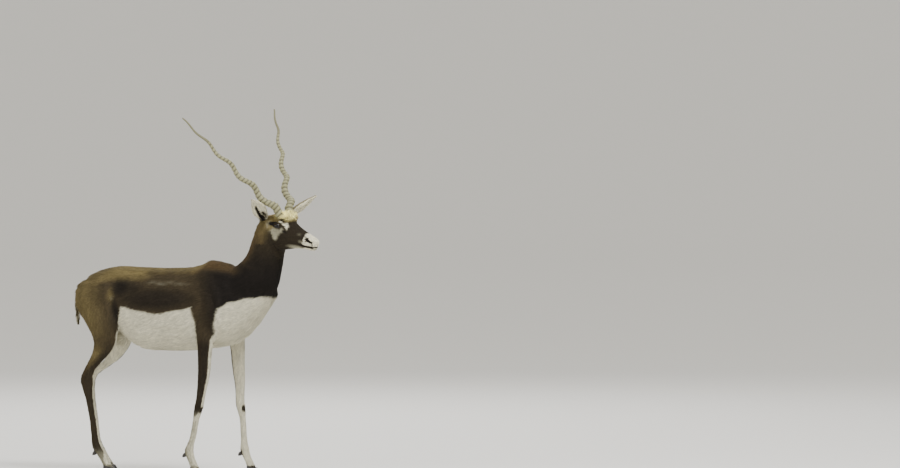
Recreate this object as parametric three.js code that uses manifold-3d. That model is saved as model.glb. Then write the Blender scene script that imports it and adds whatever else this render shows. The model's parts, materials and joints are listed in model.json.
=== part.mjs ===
// A male blackbuck standing at life size, parted by thin cuts into the pieces that a person would name.
// Millimetres. X runs forward along the body, Y to the animal's left and Z up from the ground.
import * as THREE from 'three';
import { mergeVertices } from 'three/addons/utils/BufferGeometryUtils.js';
import Module from 'manifold-3d';

const wasm = await Module();
wasm.setup();

// Gap that parts one piece from the next
const GAP = 0.3;
// Corners of a cut closer than this are one corner
const WELD = 0.01;

// Heights of the joints above the ground
const CORONET = 27;
const FETLOCK = 90;
const KNEE = 248;
const HOCK = 332;

// The head: its own frame has X from the ear base to the nose, Y left and Z up
const HEAD_PLACE = new THREE.Vector3(303, -20, 887);
const HEAD_YAW = -17;
const HEAD_PITCH = 11.3;
const HEAD_ROLL = 3.5;
const NOSE_TIP = 209;
const EYE_RADIUS = 15.5;
const EYE_PLACE = [49, 38, 23];
const MOUTH_LEVEL = -24;

// Horns: straight length from base to tip, and the open corkscrew round that line
const HORN_LENGTH = 520;
const HORN_BASE_RADIUS = 17.5;
const HORN_TIP_RADIUS = 2.6;
const HORN_TURN = 112;
const HORN_COIL_RADIUS = 8.5;
const HORN_COIL_START = 124;
const HORN_RINGS = 28;
const HORN_RINGED_SHARE = 0.76;
// Half sizes of the swelling of skin that each horn grows from
const PEDICLE = [19.5, 19.5, 20];

const EAR_LENGTH = 142;
const EAR_HALF_WIDTH = 25;
// Root and direction of each ear by side, Y outwards: the left one is pricked towards the front
const EAR_SET = {
  [-1]: { root: [-4, 37, 31], along: [0.08, 0.79, 0.61] },
  [1]: { root: [16, 35, 33], along: [0.45, 0.6, 0.66] },
};
// Share of the ear's length that stays with the head, and where its cup begins
const EAR_SEAM = 0.13;
const EAR_CUP_START = 0.14;
const TAIL_LENGTH = 150;

// Colours of the pieces
const DARK_COAT = 0x2c211b;
const TAN_COAT = 0x77643f;
const WHITE_COAT = 0xcfc8b8;
const HORN_TONE = 0x9a9068;
const HOOF_TONE = 0x1d1a18;
const EYE_TONE = 0x120d0a;

const degrees = THREE.MathUtils.degToRad;
const FULL_TURN = 2 * Math.PI;

// A smooth run of values through rows of [place, value, value, ...]
function smoothRun(rows) {
  const size = rows[0].length - 1;
  const places = rows.map((row) => row[0]);
  const values = rows.flatMap((row) => row.slice(1));
  const curve = new THREE.CubicInterpolant(places, values, size, new Float32Array(size));
  return (place) => Array.from(curve.evaluate(place));
}

// Even places from one end to the other, with rings drawn close together at domed ends
function ringPlaces(from, to, count, dome = 0) {
  const places = [];
  const domeRings = dome > 0 ? 3 : 0;
  for (let ring = 0; ring < domeRings; ring += 1) {
    places.push(from + dome * (1 - Math.cos((ring + 0.35) * Math.PI / 2 / domeRings)));
  }
  for (let ring = 0; ring < count; ring += 1) {
    places.push(from + dome + (to - from - 2 * dome) * ring / (count - 1));
  }
  for (let ring = domeRings - 1; ring >= 0; ring -= 1) {
    places.push(to - dome * (1 - Math.cos((ring + 0.35) * Math.PI / 2 / domeRings)));
  }
  return places;
}

// How far a domed end has closed in at a place: 0 at the very end, 1 past the dome
function domeShare(place, from, to, dome) {
  const inset = Math.min(Math.abs(place - from), Math.abs(to - place));
  const depth = Math.min(inset / dome, 1);
  return Math.sqrt(1 - (1 - depth) ** 2);
}

// A coordinate on a rounded square section, softer or squarer by its exponent
function bulge(share, exponent) {
  return Math.sign(share) * Math.abs(share) ** (2 / exponent);
}

// A closed skin of rings, each a loop of points that pointAt(place, angle) gives
function loft(places, sides, pointAt) {
  const positions = [];
  const faces = [];
  for (const place of places) {
    for (let side = 0; side < sides; side += 1) {
      positions.push(...pointAt(place, FULL_TURN * side / sides));
    }
  }
  const ringCentre = (ring) => {
    const middle = [0, 0, 0];
    for (let side = 0; side < sides; side += 1) {
      for (let axis = 0; axis < 3; axis += 1) {
        middle[axis] += positions[3 * (ring * sides + side) + axis] / sides;
      }
    }
    return middle;
  };
  const last = places.length - 1;
  const firstCentre = positions.length / 3;
  positions.push(...ringCentre(0), ...ringCentre(last));
  for (let side = 0; side < sides; side += 1) {
    const next = (side + 1) % sides;
    for (let ring = 0; ring < last; ring += 1) {
      const corner = ring * sides;
      faces.push(corner + side, corner + next, corner + sides + side);
      faces.push(corner + next, corner + sides + next, corner + sides + side);
    }
    faces.push(firstCentre, next, side);
    faces.push(firstCentre + 1, last * sides + side, last * sides + next);
  }
  const geometry = new THREE.BufferGeometry();
  geometry.setAttribute('position', new THREE.Float32BufferAttribute(positions, 3));
  geometry.setIndex(faces);
  return facingOut(geometry);
}

// The same geometry with its faces turned to point outwards
function facingOut(geometry) {
  const at = geometry.getAttribute('position');
  const index = geometry.getIndex().array;
  const [a, b, c] = [new THREE.Vector3(), new THREE.Vector3(), new THREE.Vector3()];
  let volume = 0;
  for (let face = 0; face < index.length; face += 3) {
    a.fromBufferAttribute(at, index[face]);
    b.fromBufferAttribute(at, index[face + 1]);
    c.fromBufferAttribute(at, index[face + 2]);
    volume += a.dot(b.cross(c));
  }
  if (volume < 0) {
    for (let face = 0; face < index.length; face += 3) {
      [index[face + 1], index[face + 2]] = [index[face + 2], index[face + 1]];
    }
  }
  return geometry;
}

// A three.js geometry as a solid that can be joined and cut
function solid(geometry) {
  const bare = geometry.clone();
  for (const name of Object.keys(bare.attributes)) {
    if (name !== 'position') bare.deleteAttribute(name);
  }
  const merged = mergeVertices(bare, 1e-4);
  return new wasm.Manifold(new wasm.Mesh({
    numProp: 3,
    vertProperties: new Float32Array(merged.getAttribute('position').array),
    triVerts: new Uint32Array(merged.getIndex().array),
  }));
}

// The largest closed body of a cut or joined solid
function largest(body) {
  const bodies = body.decompose();
  return bodies.reduce((best, one) => (one.volume() > best.volume() ? one : best));
}

function joined(...solids) {
  return solids.reduce((whole, next) => whole.add(next));
}

// A box of [x, y, z] size about a centre, turned by [x, y, z] degrees and grown on every side
function boxSolid({ size, centre, turn = [0, 0, 0], frame = new THREE.Matrix4() }, grow = 0) {
  const geometry = new THREE.BoxGeometry(...size.map((length) => length + 2 * grow));
  geometry.applyMatrix4(new THREE.Matrix4().makeRotationFromEuler(new THREE.Euler(...turn.map(degrees))));
  geometry.translate(...centre);
  return solid(geometry.applyMatrix4(frame));
}

// An ellipsoid of [x, y, z] half sizes
function egg(halfSizes, centre, frame = new THREE.Matrix4(), [across, along] = [9, 6]) {
  const geometry = new THREE.SphereGeometry(1, across, along).scale(...halfSizes).translate(...centre);
  return solid(geometry.applyMatrix4(frame));
}

// Parts a body in two, a gap apart: what lies in the cutter, and the rest
function parted(body, cutter) {
  return [largest(body.intersect(cutter(0))), largest(body.subtract(cutter(GAP)))];
}

function partedByBox(body, box) {
  return parted(body, (grow) => boxSolid(box, grow));
}

// A body cut back from another one, the gap away from it on every side
function clearOf(body, other) {
  const shifts = [[1, 0, 0], [-1, 0, 0], [0, 1, 0], [0, -1, 0], [0, 0, 1], [0, 0, -1]];
  const cut = shifts.reduce((left, shift) => left.subtract(other.translate(shift.map((s) => s * GAP))), body);
  return largest(cut);
}

// The trunk, from the buttocks to the breast
function trunk() {
  const [rear, front, dome] = [-432, 312, 34];
  // Rows: X, top, bottom, half width, share of the height where the girth is widest
  const girth = smoothRun([
    [-432, 696, 600, 66, 0.6],
    [-396, 722, 585, 80, 0.57],
    [-304, 748, 522, 92, 0.52],
    [-214, 747, 455, 97, 0.48],
    [-97, 745, 443, 102, 0.46],
    [15, 754, 447, 99, 0.45],
    [58, 771, 453, 93, 0.43],
    [113, 766, 461, 86, 0.42],
    [180, 744, 485, 76, 0.42],
    [233, 722, 535, 64, 0.45],
    [285, 702, 607, 50, 0.5],
    [312, 690, 630, 42, 0.5],
  ]);
  return loft(ringPlaces(rear, front, 20, dome), 22, (x, angle) => {
    const [top, bottom, halfWidth, level] = girth(x);
    const share = domeShare(x, rear, front, dome);
    const middle = bottom + (top - bottom) * level;
    const reach = Math.sin(angle) > 0 ? top - middle : middle - bottom;
    const [sidePower, heightPower] = Math.sin(angle) > 0 ? [2.05, 1.95] : [2.25, 2.2];
    return [
      x,
      share * halfWidth * bulge(Math.cos(angle), sidePower),
      middle + share * reach * bulge(Math.sin(angle), heightPower),
    ];
  });
}

// The neck, its rings square to a line that rises and turns to the right
function neck() {
  // Rows: place along, centre X, Y, Z, lean from upright in degrees, half depth, half width
  const line = smoothRun([
    [0, 150, 0, 640, 46, 105, 72],
    [1, 227, -1, 700, 36, 90, 63],
    [2, 264, -7, 765, 22, 71, 54],
    [3, 285, -15, 832, 16, 63, 49],
    [4, 303, -22, 882, 24, 58, 46],
    [5, 322, -27, 908, 38, 43, 41],
    [5.6, 338, -31, 924, 48, 22, 26],
  ]);
  return loft(ringPlaces(0, 5.6, 15), 22, (place, angle) => {
    const [x, y, z, lean, halfDepth, halfWidth] = line(place);
    const depth = halfDepth * bulge(Math.sin(angle), 2.1);
    const turn = degrees(lean);
    return [
      x - depth * Math.cos(turn),
      y + halfWidth * bulge(Math.cos(angle), 2.1),
      z + depth * Math.sin(turn),
    ];
  });
}

// The head's own frame in the body's
function headFrame() {
  const turn = new THREE.Euler(degrees(HEAD_ROLL), degrees(HEAD_PITCH), degrees(HEAD_YAW), 'ZYX');
  return new THREE.Matrix4().makeRotationFromEuler(turn).setPosition(HEAD_PLACE);
}

// The skull and muzzle; shrink draws every ring in, for the core that a groove leaves
function skull(shrink = 1) {
  const [rear, dome] = [-12, 14];
  // Rows: X, top, bottom, half width above, half width below
  const girth = smoothRun([
    [-12, 44, -52, 36, 32],
    [20, 53, -66, 44, 38],
    [42, 57, -69, 48, 40],
    [62, 54, -65, 48, 38],
    [85, 44, -57, 41, 33],
    [110, 33, -50, 31, 27.5],
    [135, 24, -44, 25, 23.5],
    [160, 16, -40.5, 23, 22],
    [182, 9, -39.5, 22.5, 20.5],
    [198, 3, -36, 20, 18],
    [209, -2, -29, 15, 14],
  ]);
  return loft(ringPlaces(rear, NOSE_TIP, 18, dome), 20, (x, angle) => {
    const [top, bottom, above, below] = girth(x);
    const share = domeShare(x, rear, NOSE_TIP, dome) * shrink;
    const middle = (top + bottom) / 2 + 6;
    const upper = Math.sin(angle) > 0;
    const halfWidth = THREE.MathUtils.lerp(below, above, (Math.sin(angle) + 1) / 2);
    const reach = upper ? top - middle : middle - bottom;
    return [
      x,
      share * halfWidth * bulge(Math.cos(angle), 2.3),
      middle + share * reach * bulge(Math.sin(angle), 2.3),
    ];
  });
}

// Outward line of sight of the eye on one side, in the head's frame
function eyeSight(side) {
  return new THREE.Vector3(0.36, side * 0.92, 0.12).normalize();
}

// Upper and lower lid: one ring round the eye, set along its line of sight
function lidRing(side, frame) {
  const ring = new THREE.TorusGeometry(EYE_RADIUS - 0.6, 3, 5, 12).scale(1.12, 0.92, 1);
  ring.applyQuaternion(new THREE.Quaternion().setFromUnitVectors(new THREE.Vector3(0, 0, 1), eyeSight(side)));
  const [x, y, z] = EYE_PLACE;
  const seat = new THREE.Vector3(x, side * y, z).addScaledVector(eyeSight(side), 7.5);
  return solid(ring.translate(...seat).applyMatrix4(frame));
}

function eyeBall(side, radius, frame, [across, along] = [12, 9]) {
  const [x, y, z] = EYE_PLACE;
  return egg([radius, radius, radius], [x, side * y, z], frame, [across, along]);
}

// Skull, brows, cheeks, lips and lids, still without its cuts
function headForm(frame) {
  const forms = [solid(skull().applyMatrix4(frame))];
  for (const side of [-1, 1]) {
    forms.push(egg([20, 10, 9], [53, side * 37, 39], frame, [10, 7]));
    forms.push(egg([14, 8, 8], [188, side * 13, -7], frame, [10, 7]));
    forms.push(egg(PEDICLE, [0, 0, 6], hornFrame(side, frame), [11, 7]));
    forms.push(lidRing(side, frame));
  }
  forms.push(egg([28, 15, 8], [176, 0, -32.8], frame, [10, 6]));
  forms.push(egg([26, 30, 12], [34, 0, 50], frame, [10, 6]));
  forms.push(egg([38, 36, 25], [57, 0, 39], frame, [12, 8]));
  return joined(...forms);
}

// Cuts the sockets, the nostrils and the line of the mouth into the head
function carvedHead(head, frame) {
  let carved = head;
  for (const side of [-1, 1]) {
    carved = carved.subtract(eyeBall(side, EYE_RADIUS + GAP, frame));
    carved = carved.subtract(egg([4, 4.5, 4], [193, side * 17, -8.5], frame, [8, 6]));
    const slit = new THREE.Matrix4().makeRotationY(degrees(24)).setPosition(183, side * 20, -4);
    carved = carved.subtract(egg([10, 4.5, 2.6], [0, 0, 0], slit.premultiply(frame), [8, 6]));
  }
  const groove = boxSolid({
    size: [64, 80, 1.8], centre: [184, 0, MOUTH_LEVEL], turn: [0, 4, 0], frame,
  });
  return largest(carved.subtract(groove.subtract(solid(skull(0.88).applyMatrix4(frame)))));
}

// Frame of an ear: X along it to the tip, Y out of its opening, Z across
function earFrame(side, frame) {
  const { root, along: [forward, out, up] } = EAR_SET[side];
  const along = new THREE.Vector3(forward, side * out, up).normalize();
  const opening = new THREE.Vector3(0.84, side * 0.22, -0.38);
  const across = new THREE.Vector3().crossVectors(along, opening).normalize();
  opening.crossVectors(across, along).normalize();
  const local = new THREE.Matrix4().makeBasis(along, opening, across);
  local.setPosition(root[0], side * root[1], root[2]);
  return new THREE.Matrix4().multiplyMatrices(frame, local);
}

// One leaf of the ear; inset makes the smaller body that hollows out the cup
function earLeaf(inset) {
  const girth = smoothRun([
    [0, 11, 11],
    [0.2, 15, 13],
    [0.5, EAR_HALF_WIDTH, 13],
    [0.75, 18, 9],
    [0.92, 8, 5],
    [1, 2.6, 2.8],
  ]);
  const start = inset > 0 ? EAR_CUP_START : 0;
  return loft(ringPlaces(start, 1 + inset * 0.004, 10), 14, (place, angle) => {
    const [halfWidth, halfDepth] = girth(Math.min(place, 1));
    const open = inset > 0 ? halfDepth * 0.72 : 0;
    const cup = inset > 0 ? Math.min((place - start + 0.03) / 0.15, 1) ** 0.6 : 1;
    return [
      place * EAR_LENGTH,
      open + Math.max(halfDepth - inset * 0.3, 1) * cup * Math.sin(angle),
      Math.max(halfWidth - inset, 0.6) * cup * Math.cos(angle),
    ];
  });
}

function ear(side, frame) {
  const place = earFrame(side, frame);
  return solid(earLeaf(0).applyMatrix4(place)).subtract(solid(earLeaf(2.4).applyMatrix4(place)));
}

// Frame of a horn: Z along its straight line, based between the eye and the poll
function hornFrame(side, frame) {
  const along = new THREE.Vector3(-0.63, side * 0.47, 0.62).normalize();
  const turn = new THREE.Quaternion().setFromUnitVectors(new THREE.Vector3(0, 0, 1), along);
  const local = new THREE.Matrix4().makeRotationFromQuaternion(turn).setPosition(65, side * 16.5, 46);
  return new THREE.Matrix4().multiplyMatrices(frame, local);
}

// A corkscrew horn with raised rings on its lower part and a smooth tip
function horn(side, frame) {
  const spacing = HORN_LENGTH * HORN_RINGED_SHARE / HORN_RINGS;
  const places = [0];
  for (let ring = 0; ring < HORN_RINGS; ring += 1) {
    for (const share of [0.5, 1]) places.push((ring + share) * spacing);
  }
  for (let step = 1; step <= 9; step += 1) {
    places.push(HORN_LENGTH * (HORN_RINGED_SHARE + (1 - HORN_RINGED_SHARE) * step / 9));
  }
  const geometry = loft(places, 10, (place, angle) => {
    const share = place / HORN_LENGTH;
    const phase = degrees(HORN_COIL_START) + FULL_TURN * place / HORN_TURN;
    const coil = HORN_COIL_RADIUS * Math.min(place / 60, 1) * (1 - share) ** 0.5;
    const crest = share < HORN_RINGED_SHARE ? Math.sin(Math.PI * (place / spacing % 1)) ** 2 : 0.3;
    const taper = THREE.MathUtils.lerp(HORN_BASE_RADIUS, HORN_TIP_RADIUS, share ** 0.8);
    const radius = taper * (0.9 + 0.13 * crest);
    return [
      coil * Math.cos(phase) + radius * Math.cos(angle),
      side * coil * Math.sin(phase) + radius * Math.sin(angle),
      place,
    ];
  });
  return solid(geometry.applyMatrix4(hornFrame(side, frame)));
}

// Half depth and half width of a foreleg by height, from the coronet to the top of the shoulder
const FORE_GIRTH = [
  [18, 17, 15.5], [40, 14.5, 14], [60, 14.5, 13.5], [80, 17, 14.5], [94, 16.5, 14.5], [114, 13, 12],
  [150, 12, 10.5], [205, 12.5, 11], [228, 15.5, 14], [KNEE, 17.5, 16], [274, 16.5, 15], [305, 18, 15.5],
  [350, 22, 18], [400, 25, 21], [450, 28, 25], [500, 34, 29], [550, 47, 31], [600, 60, 31], [660, 63, 28],
  [710, 48, 19], [738, 26, 9],
];

// Half depth and half width of a hind leg by height, from the coronet to the top of the haunch
const HIND_GIRTH = [
  [18, 17, 15.5], [40, 15, 14], [60, 15, 13.5], [82, 17, 15], [97, 17, 15.5], [118, 14, 12.5],
  [160, 13, 11], [227, 13, 11], [274, 15, 12.5], [302, 19.5, 15], [HOCK, 24.5, 17], [352, 23, 17],
  [376, 22, 16.5], [403, 27, 19], [439, 36, 24], [475, 44, 29], [511, 52, 34], [547, 66, 39],
  [608, 87, 45], [650, 92, 46], [685, 78, 40], [708, 54, 27], [726, 26, 11],
];

// Centre line of each leg by height: X forward and Y out from the midline
const LEG_LINES = {
  foreleg_right: [
    [18, 25, 71], [40, 16, 71], [60, 7, 71], [80, 0, 71], [94, 0, 71.5], [137, 15, 73], [180, 24, 74],
    [215, 31, 75], [KNEE, 40, 76], [300, 50, 78], [364, 60, 79], [439, 64, 80], [493, 67, 79], [550, 76, 73],
    [600, 84, 66], [660, 76, 59], [738, 50, 45],
  ],
  foreleg_left: [
    [18, 186, 74], [40, 176, 74], [60, 166, 74], [80, 158, 74], [94, 156, 74.5], [137, 153, 75],
    [205, 147, 77], [KNEE + 8, 138, 78], [320, 136, 80], [403, 129, 81], [457, 127, 80], [500, 121, 78],
    [550, 112, 72], [600, 101, 66], [660, 82, 59], [738, 52, 45],
  ],
  hindleg_right: [
    [18, -312, 69], [40, -325, 69], [60, -338, 69], [82, -352, 69.5], [97, -361, 70], [137, -368, 71],
    [180, -372, 72], [227, -380, 73], [274, -388, 74], [HOCK, -396, 75], [352, -395, 75], [376, -384, 75],
    [403, -364, 75], [439, -338, 74], [475, -326, 72], [511, -330, 70], [547, -341, 67], [608, -356, 59],
    [650, -355, 55], [685, -350, 50], [726, -342, 42],
  ],
};

// The left hind foot stands further back, from nothing at the stifle to this at the hock and below
const HIND_STEP_BACK = 54;
const STIFLE_SWING = 400;
LEG_LINES.hindleg_left = LEG_LINES.hindleg_right.map(([height, x, out]) => {
  const share = THREE.MathUtils.smoothstep(STIFLE_SWING - height, 0, STIFLE_SWING - HOCK);
  return [height, x - HIND_STEP_BACK * share, out];
});

// What each pair of legs shares: its girth, where its middle joint parts it, the name of what lies above
// that, how far from the midline it begins, and the seam on the trunk by [out, height] and lean
const FORE = {
  girth: FORE_GIRTH, joint: KNEE - 6, upper: 'forearm', inside: 48, seam: [74, 505], lean: 38,
};
const HIND = {
  girth: HIND_GIRTH, joint: HOCK - 24, upper: 'thigh', inside: 26, seam: [62, 585], lean: 42,
};
const SEAM_MARGIN = 4;

const LEGS = [
  { ...FORE, name: 'foreleg_right', side: -1 },
  { ...FORE, name: 'foreleg_left', side: 1 },
  { ...HIND, name: 'hindleg_right', side: -1 },
  { ...HIND, name: 'hindleg_left', side: 1 },
];

// A whole leg with the muscle that lies on the trunk, from the coronet up
function limb({ name, side, girth }) {
  const line = smoothRun(LEG_LINES[name]);
  const size = smoothRun(girth);
  const heights = girth.map((row) => row[0]);
  const places = heights.flatMap((height, at) => {
    const step = at === 0 ? 0 : height - heights[at - 1];
    return step > 32 ? [height - step / 2, height] : [height];
  });
  return loft(places, 12, (z, angle) => {
    const [x, out] = line(z);
    const [halfDepth, halfWidth] = size(z);
    return [
      x + halfDepth * bulge(Math.cos(angle), 2.15),
      side * out + halfWidth * bulge(Math.sin(angle), 2.15),
      z,
    ];
  });
}

// Centre of a leg's line at a height, with its side
function legCentre({ name, side }, height) {
  const [x, out] = smoothRun(LEG_LINES[name])(height);
  return [x, side * out];
}

// Cutter that takes a leg off the trunk: its outline from the side, drawn out sideways on its own side
// of the midline, below a seam that rises outwards
function legCutter(leg, grow) {
  const line = smoothRun(LEG_LINES[leg.name]);
  const size = smoothRun(leg.girth);
  const heights = leg.girth.map((row) => row[0]).filter((height) => height < FETLOCK || height > KNEE);
  const outline = loft([-grow - 5, ...heights], 4, (z, angle) => {
    const corner = Math.round(angle / FULL_TURN * 4);
    const reach = size(z)[0] + SEAM_MARGIN + grow;
    return [
      line(z)[0] + (corner === 0 || corner === 3 ? reach : -reach),
      leg.side * (corner < 2 ? 300 : leg.inside - grow),
      z,
    ];
  });
  const [out, height] = leg.seam;
  const box = { size: [1200, 1200, 1000], turn: [leg.side * leg.lean, 0, 0] };
  const down = new THREE.Vector3(0, 0, -1).applyAxisAngle(new THREE.Vector3(1, 0, 0), degrees(box.turn[0]));
  const top = new THREE.Vector3(legCentre(leg, height)[0], leg.side * out, height);
  box.centre = top.addScaledVector(down, box.size[2] / 2).toArray();
  return solid(outline).intersect(boxSolid(box, grow));
}

// Box from a joint's height down to below the ground round one leg
function belowBox(leg, height, tilt = 0) {
  const [x, y] = legCentre(leg, height);
  const depth = 300;
  return { size: [400, 100, depth], centre: [x, y, height - depth / 2], turn: [0, tilt, 0] };
}

// The four sides of a claw by height: centre X from the coronet, half length and half width
const CLAW_ROWS = [[0, 9, 25, 8], [12, 6.5, 21.5, 7.9], [24, 3, 17, 7.6], [40, -1, 13.5, 7.2]];
const CLAW_SPREAD = 9.3;
const CORONET_TILT = 14;

// One claw of a hoof with a flat sole, pointed at the toe
function claw(leg, inner) {
  const [x, y] = legCentre(leg, CORONET);
  const size = smoothRun(CLAW_ROWS);
  const out = inner ? -leg.side : leg.side;
  const form = loft([0, 4, 16, 40], 10, (z, angle) => {
    const [shift, halfLength, halfWidth] = size(z);
    const point = 1 - 0.42 * Math.cos(angle);
    return [
      x + shift + halfLength * Math.cos(angle),
      y + out * CLAW_SPREAD + halfWidth * point * Math.sin(angle) * (z < 4 ? 0.94 : 1),
      z,
    ];
  });
  return solid(form);
}

// The plane of the coronet: hoof below, hair above
function coronetBox(leg) {
  const [x, y] = legCentre(leg, CORONET);
  const depth = 120;
  const down = new THREE.Vector3(0, 0, -1).applyAxisAngle(new THREE.Vector3(0, 1, 0), degrees(CORONET_TILT));
  const centre = new THREE.Vector3(x, y, CORONET).addScaledVector(down, depth / 2);
  return { size: [200, 80, depth], centre: centre.toArray(), turn: [0, CORONET_TILT, 0] };
}

// A small horny dewclaw behind the fetlock, sunk into it
function dewclaw(leg, inner) {
  const [x, y] = legCentre(leg, FETLOCK - 10);
  const out = inner ? -leg.side : leg.side;
  const tilt = new THREE.Matrix4().makeRotationY(degrees(32));
  const place = tilt.setPosition(x - 17.5, y + out * 8, FETLOCK - 17);
  return egg([5, 4.6, 9.5], [0, 0, 0], place, [7, 5]);
}

// The tail, hanging clear of the buttocks and pressed flat
function tail() {
  const line = smoothRun([
    [0, -412, 690, 15, 13],
    [0.16, -440, 684, 14, 11],
    [0.32, -456, 662, 15, 9],
    [0.6, -463, 622, 18, 8.5],
    [0.85, -464, 580, 14, 7],
    [1, -462, 690 - TAIL_LENGTH, 4, 3],
  ]);
  return loft(ringPlaces(0, 1, 12), 12, (place, angle) => {
    const [x, z, halfWidth, halfDepth] = line(place);
    const lean = Math.min(place / 0.35, 1) * Math.PI / 2;
    const depth = halfDepth * Math.sin(angle);
    return [x - depth * Math.sin(lean), halfWidth * Math.cos(angle), z + depth * Math.cos(lean)];
  });
}

// Box that takes the head off the neck behind the jaw
function headBox(frame) {
  const size = [420, 400, 420];
  const lean = -20.5;
  const forward = new THREE.Vector3(1, 0, 0).applyAxisAngle(new THREE.Vector3(0, 1, 0), degrees(lean));
  const centre = new THREE.Vector3(0, 0, 45).addScaledVector(forward, size[0] / 2);
  return { size, centre: centre.toArray(), turn: [0, lean, 0], frame };
}

// Box that takes the neck and all above it off the trunk
function neckBox() {
  const size = [600, 400, 400];
  const lean = 24.8;
  const up = new THREE.Vector3(0, 0, 1).applyAxisAngle(new THREE.Vector3(0, 1, 0), degrees(lean));
  const centre = new THREE.Vector3(235, 0, 715).addScaledVector(up, size[2] / 2);
  return { size, centre: centre.toArray(), turn: [0, lean, 0] };
}

// Box round an ear, from just outside the skull to past its tip
function earBox(side, frame) {
  const size = [200, 90, 90];
  const centre = [EAR_SEAM * EAR_LENGTH + size[0] / 2, 0, 0];
  return { size, centre, frame: earFrame(side, frame) };
}

function tailBox() {
  return { size: [120, 48, 260], centre: [-441 - 60, 0, 600] };
}

// The faces of a finished solid, without the slivers that cuts leave
function skinOf(body) {
  const shape = body.getMesh();
  const geometry = new THREE.BufferGeometry();
  geometry.setAttribute('position', new THREE.BufferAttribute(shape.vertProperties, shape.numProp));
  geometry.setIndex(new THREE.BufferAttribute(shape.triVerts, 1));
  const merged = mergeVertices(geometry, WELD);
  const index = merged.getIndex().array;
  const faces = [];
  for (let face = 0; face < index.length; face += 3) {
    const corners = [index[face], index[face + 1], index[face + 2]];
    if (new Set(corners).size === 3) faces.push(...corners);
  }
  merged.setIndex(faces);
  merged.computeVertexNormals();
  return merged;
}

const pieces = [];

// Adds a named piece with its own material
function addPiece(name, body, colour, roughness = 0.85, metalness = 0) {
  const material = new THREE.MeshStandardMaterial({ color: colour, roughness, metalness });
  const mesh = new THREE.Mesh(skinOf(body), material);
  mesh.name = name;
  pieces.push(mesh);
}

const frame = headFrame();
const sides = [['right', -1], ['left', 1]];

// The whole animal in one, then parted
const pouch = egg([20, 19, 36], [-292, 0, 490], undefined, [12, 8]);
let flesh = joined(solid(trunk()), solid(neck()), headForm(frame), solid(tail()), pouch);
for (const leg of LEGS) flesh = flesh.add(solid(limb(leg)));

// The root of each ear belongs to the head
for (const [word, side] of sides) {
  const [blade, root] = partedByBox(ear(side, frame), earBox(side, frame));
  addPiece(`ear_${word}`, clearOf(blade, flesh), TAN_COAT);
  flesh = flesh.add(root);
}

let piece;
[piece, flesh] = partedByBox(flesh, tailBox());
addPiece('tail', piece, DARK_COAT);

for (const leg of LEGS) {
  [piece, flesh] = parted(flesh, (grow) => legCutter(leg, grow));
  const [belowMiddle, upperLeg] = partedByBox(piece, belowBox(leg, leg.joint));
  addPiece(`${leg.name}_${leg.upper}`, upperLeg, DARK_COAT);
  const [belowFetlock, cannon] = partedByBox(belowMiddle, belowBox(leg, FETLOCK + 14));
  addPiece(`${leg.name}_cannon`, cannon, WHITE_COAT);
  const foot = largest(belowFetlock.subtract(boxSolid(coronetBox(leg), GAP)));
  addPiece(`${leg.name}_foot`, foot, TAN_COAT);
  for (const [place, inner] of [['inner', true], ['outer', false]]) {
    const hoof = largest(claw(leg, inner).intersect(boxSolid(coronetBox(leg))));
    addPiece(`${leg.name}_claw_${place}`, hoof, HOOF_TONE, 0.5);
    addPiece(`${leg.name}_dewclaw_${place}`, clearOf(dewclaw(leg, inner), foot), HOOF_TONE, 0.5);
  }
}

const [upper, torso] = partedByBox(flesh, neckBox());
addPiece('torso', torso, DARK_COAT);
const [wholeHead, neckPiece] = partedByBox(upper, headBox(frame));
addPiece('neck', neckPiece, DARK_COAT);

const head = carvedHead(wholeHead, frame);
for (const [word, side] of sides) {
  addPiece(`eye_${word}`, eyeBall(side, EYE_RADIUS, frame), EYE_TONE, 0.15);
  addPiece(`horn_${word}`, clearOf(horn(side, frame), head), HORN_TONE, 0.6);
}
addPiece('head', head, DARK_COAT);

// The origin is the middle of the ground under the whole animal
const animal = new THREE.Group();
animal.add(...pieces);
const box = new THREE.Box3().setFromObject(animal);
animal.position.set(-(box.min.x + box.max.x) / 2, -(box.min.y + box.max.y) / 2, -box.min.z);
const group = new THREE.Group();
group.add(animal);

export default group;
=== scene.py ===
"""A standing male blackbuck: skin, coat, horns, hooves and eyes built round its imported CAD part."""

import json
import logging
import math
from collections.abc import Callable, Iterable, Sequence
from dataclasses import dataclass, field
from enum import Enum, IntEnum

import bmesh
import bpy
import numpy as np
from mathutils import Matrix, Vector
from mathutils.bvhtree import BVHTree

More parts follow.
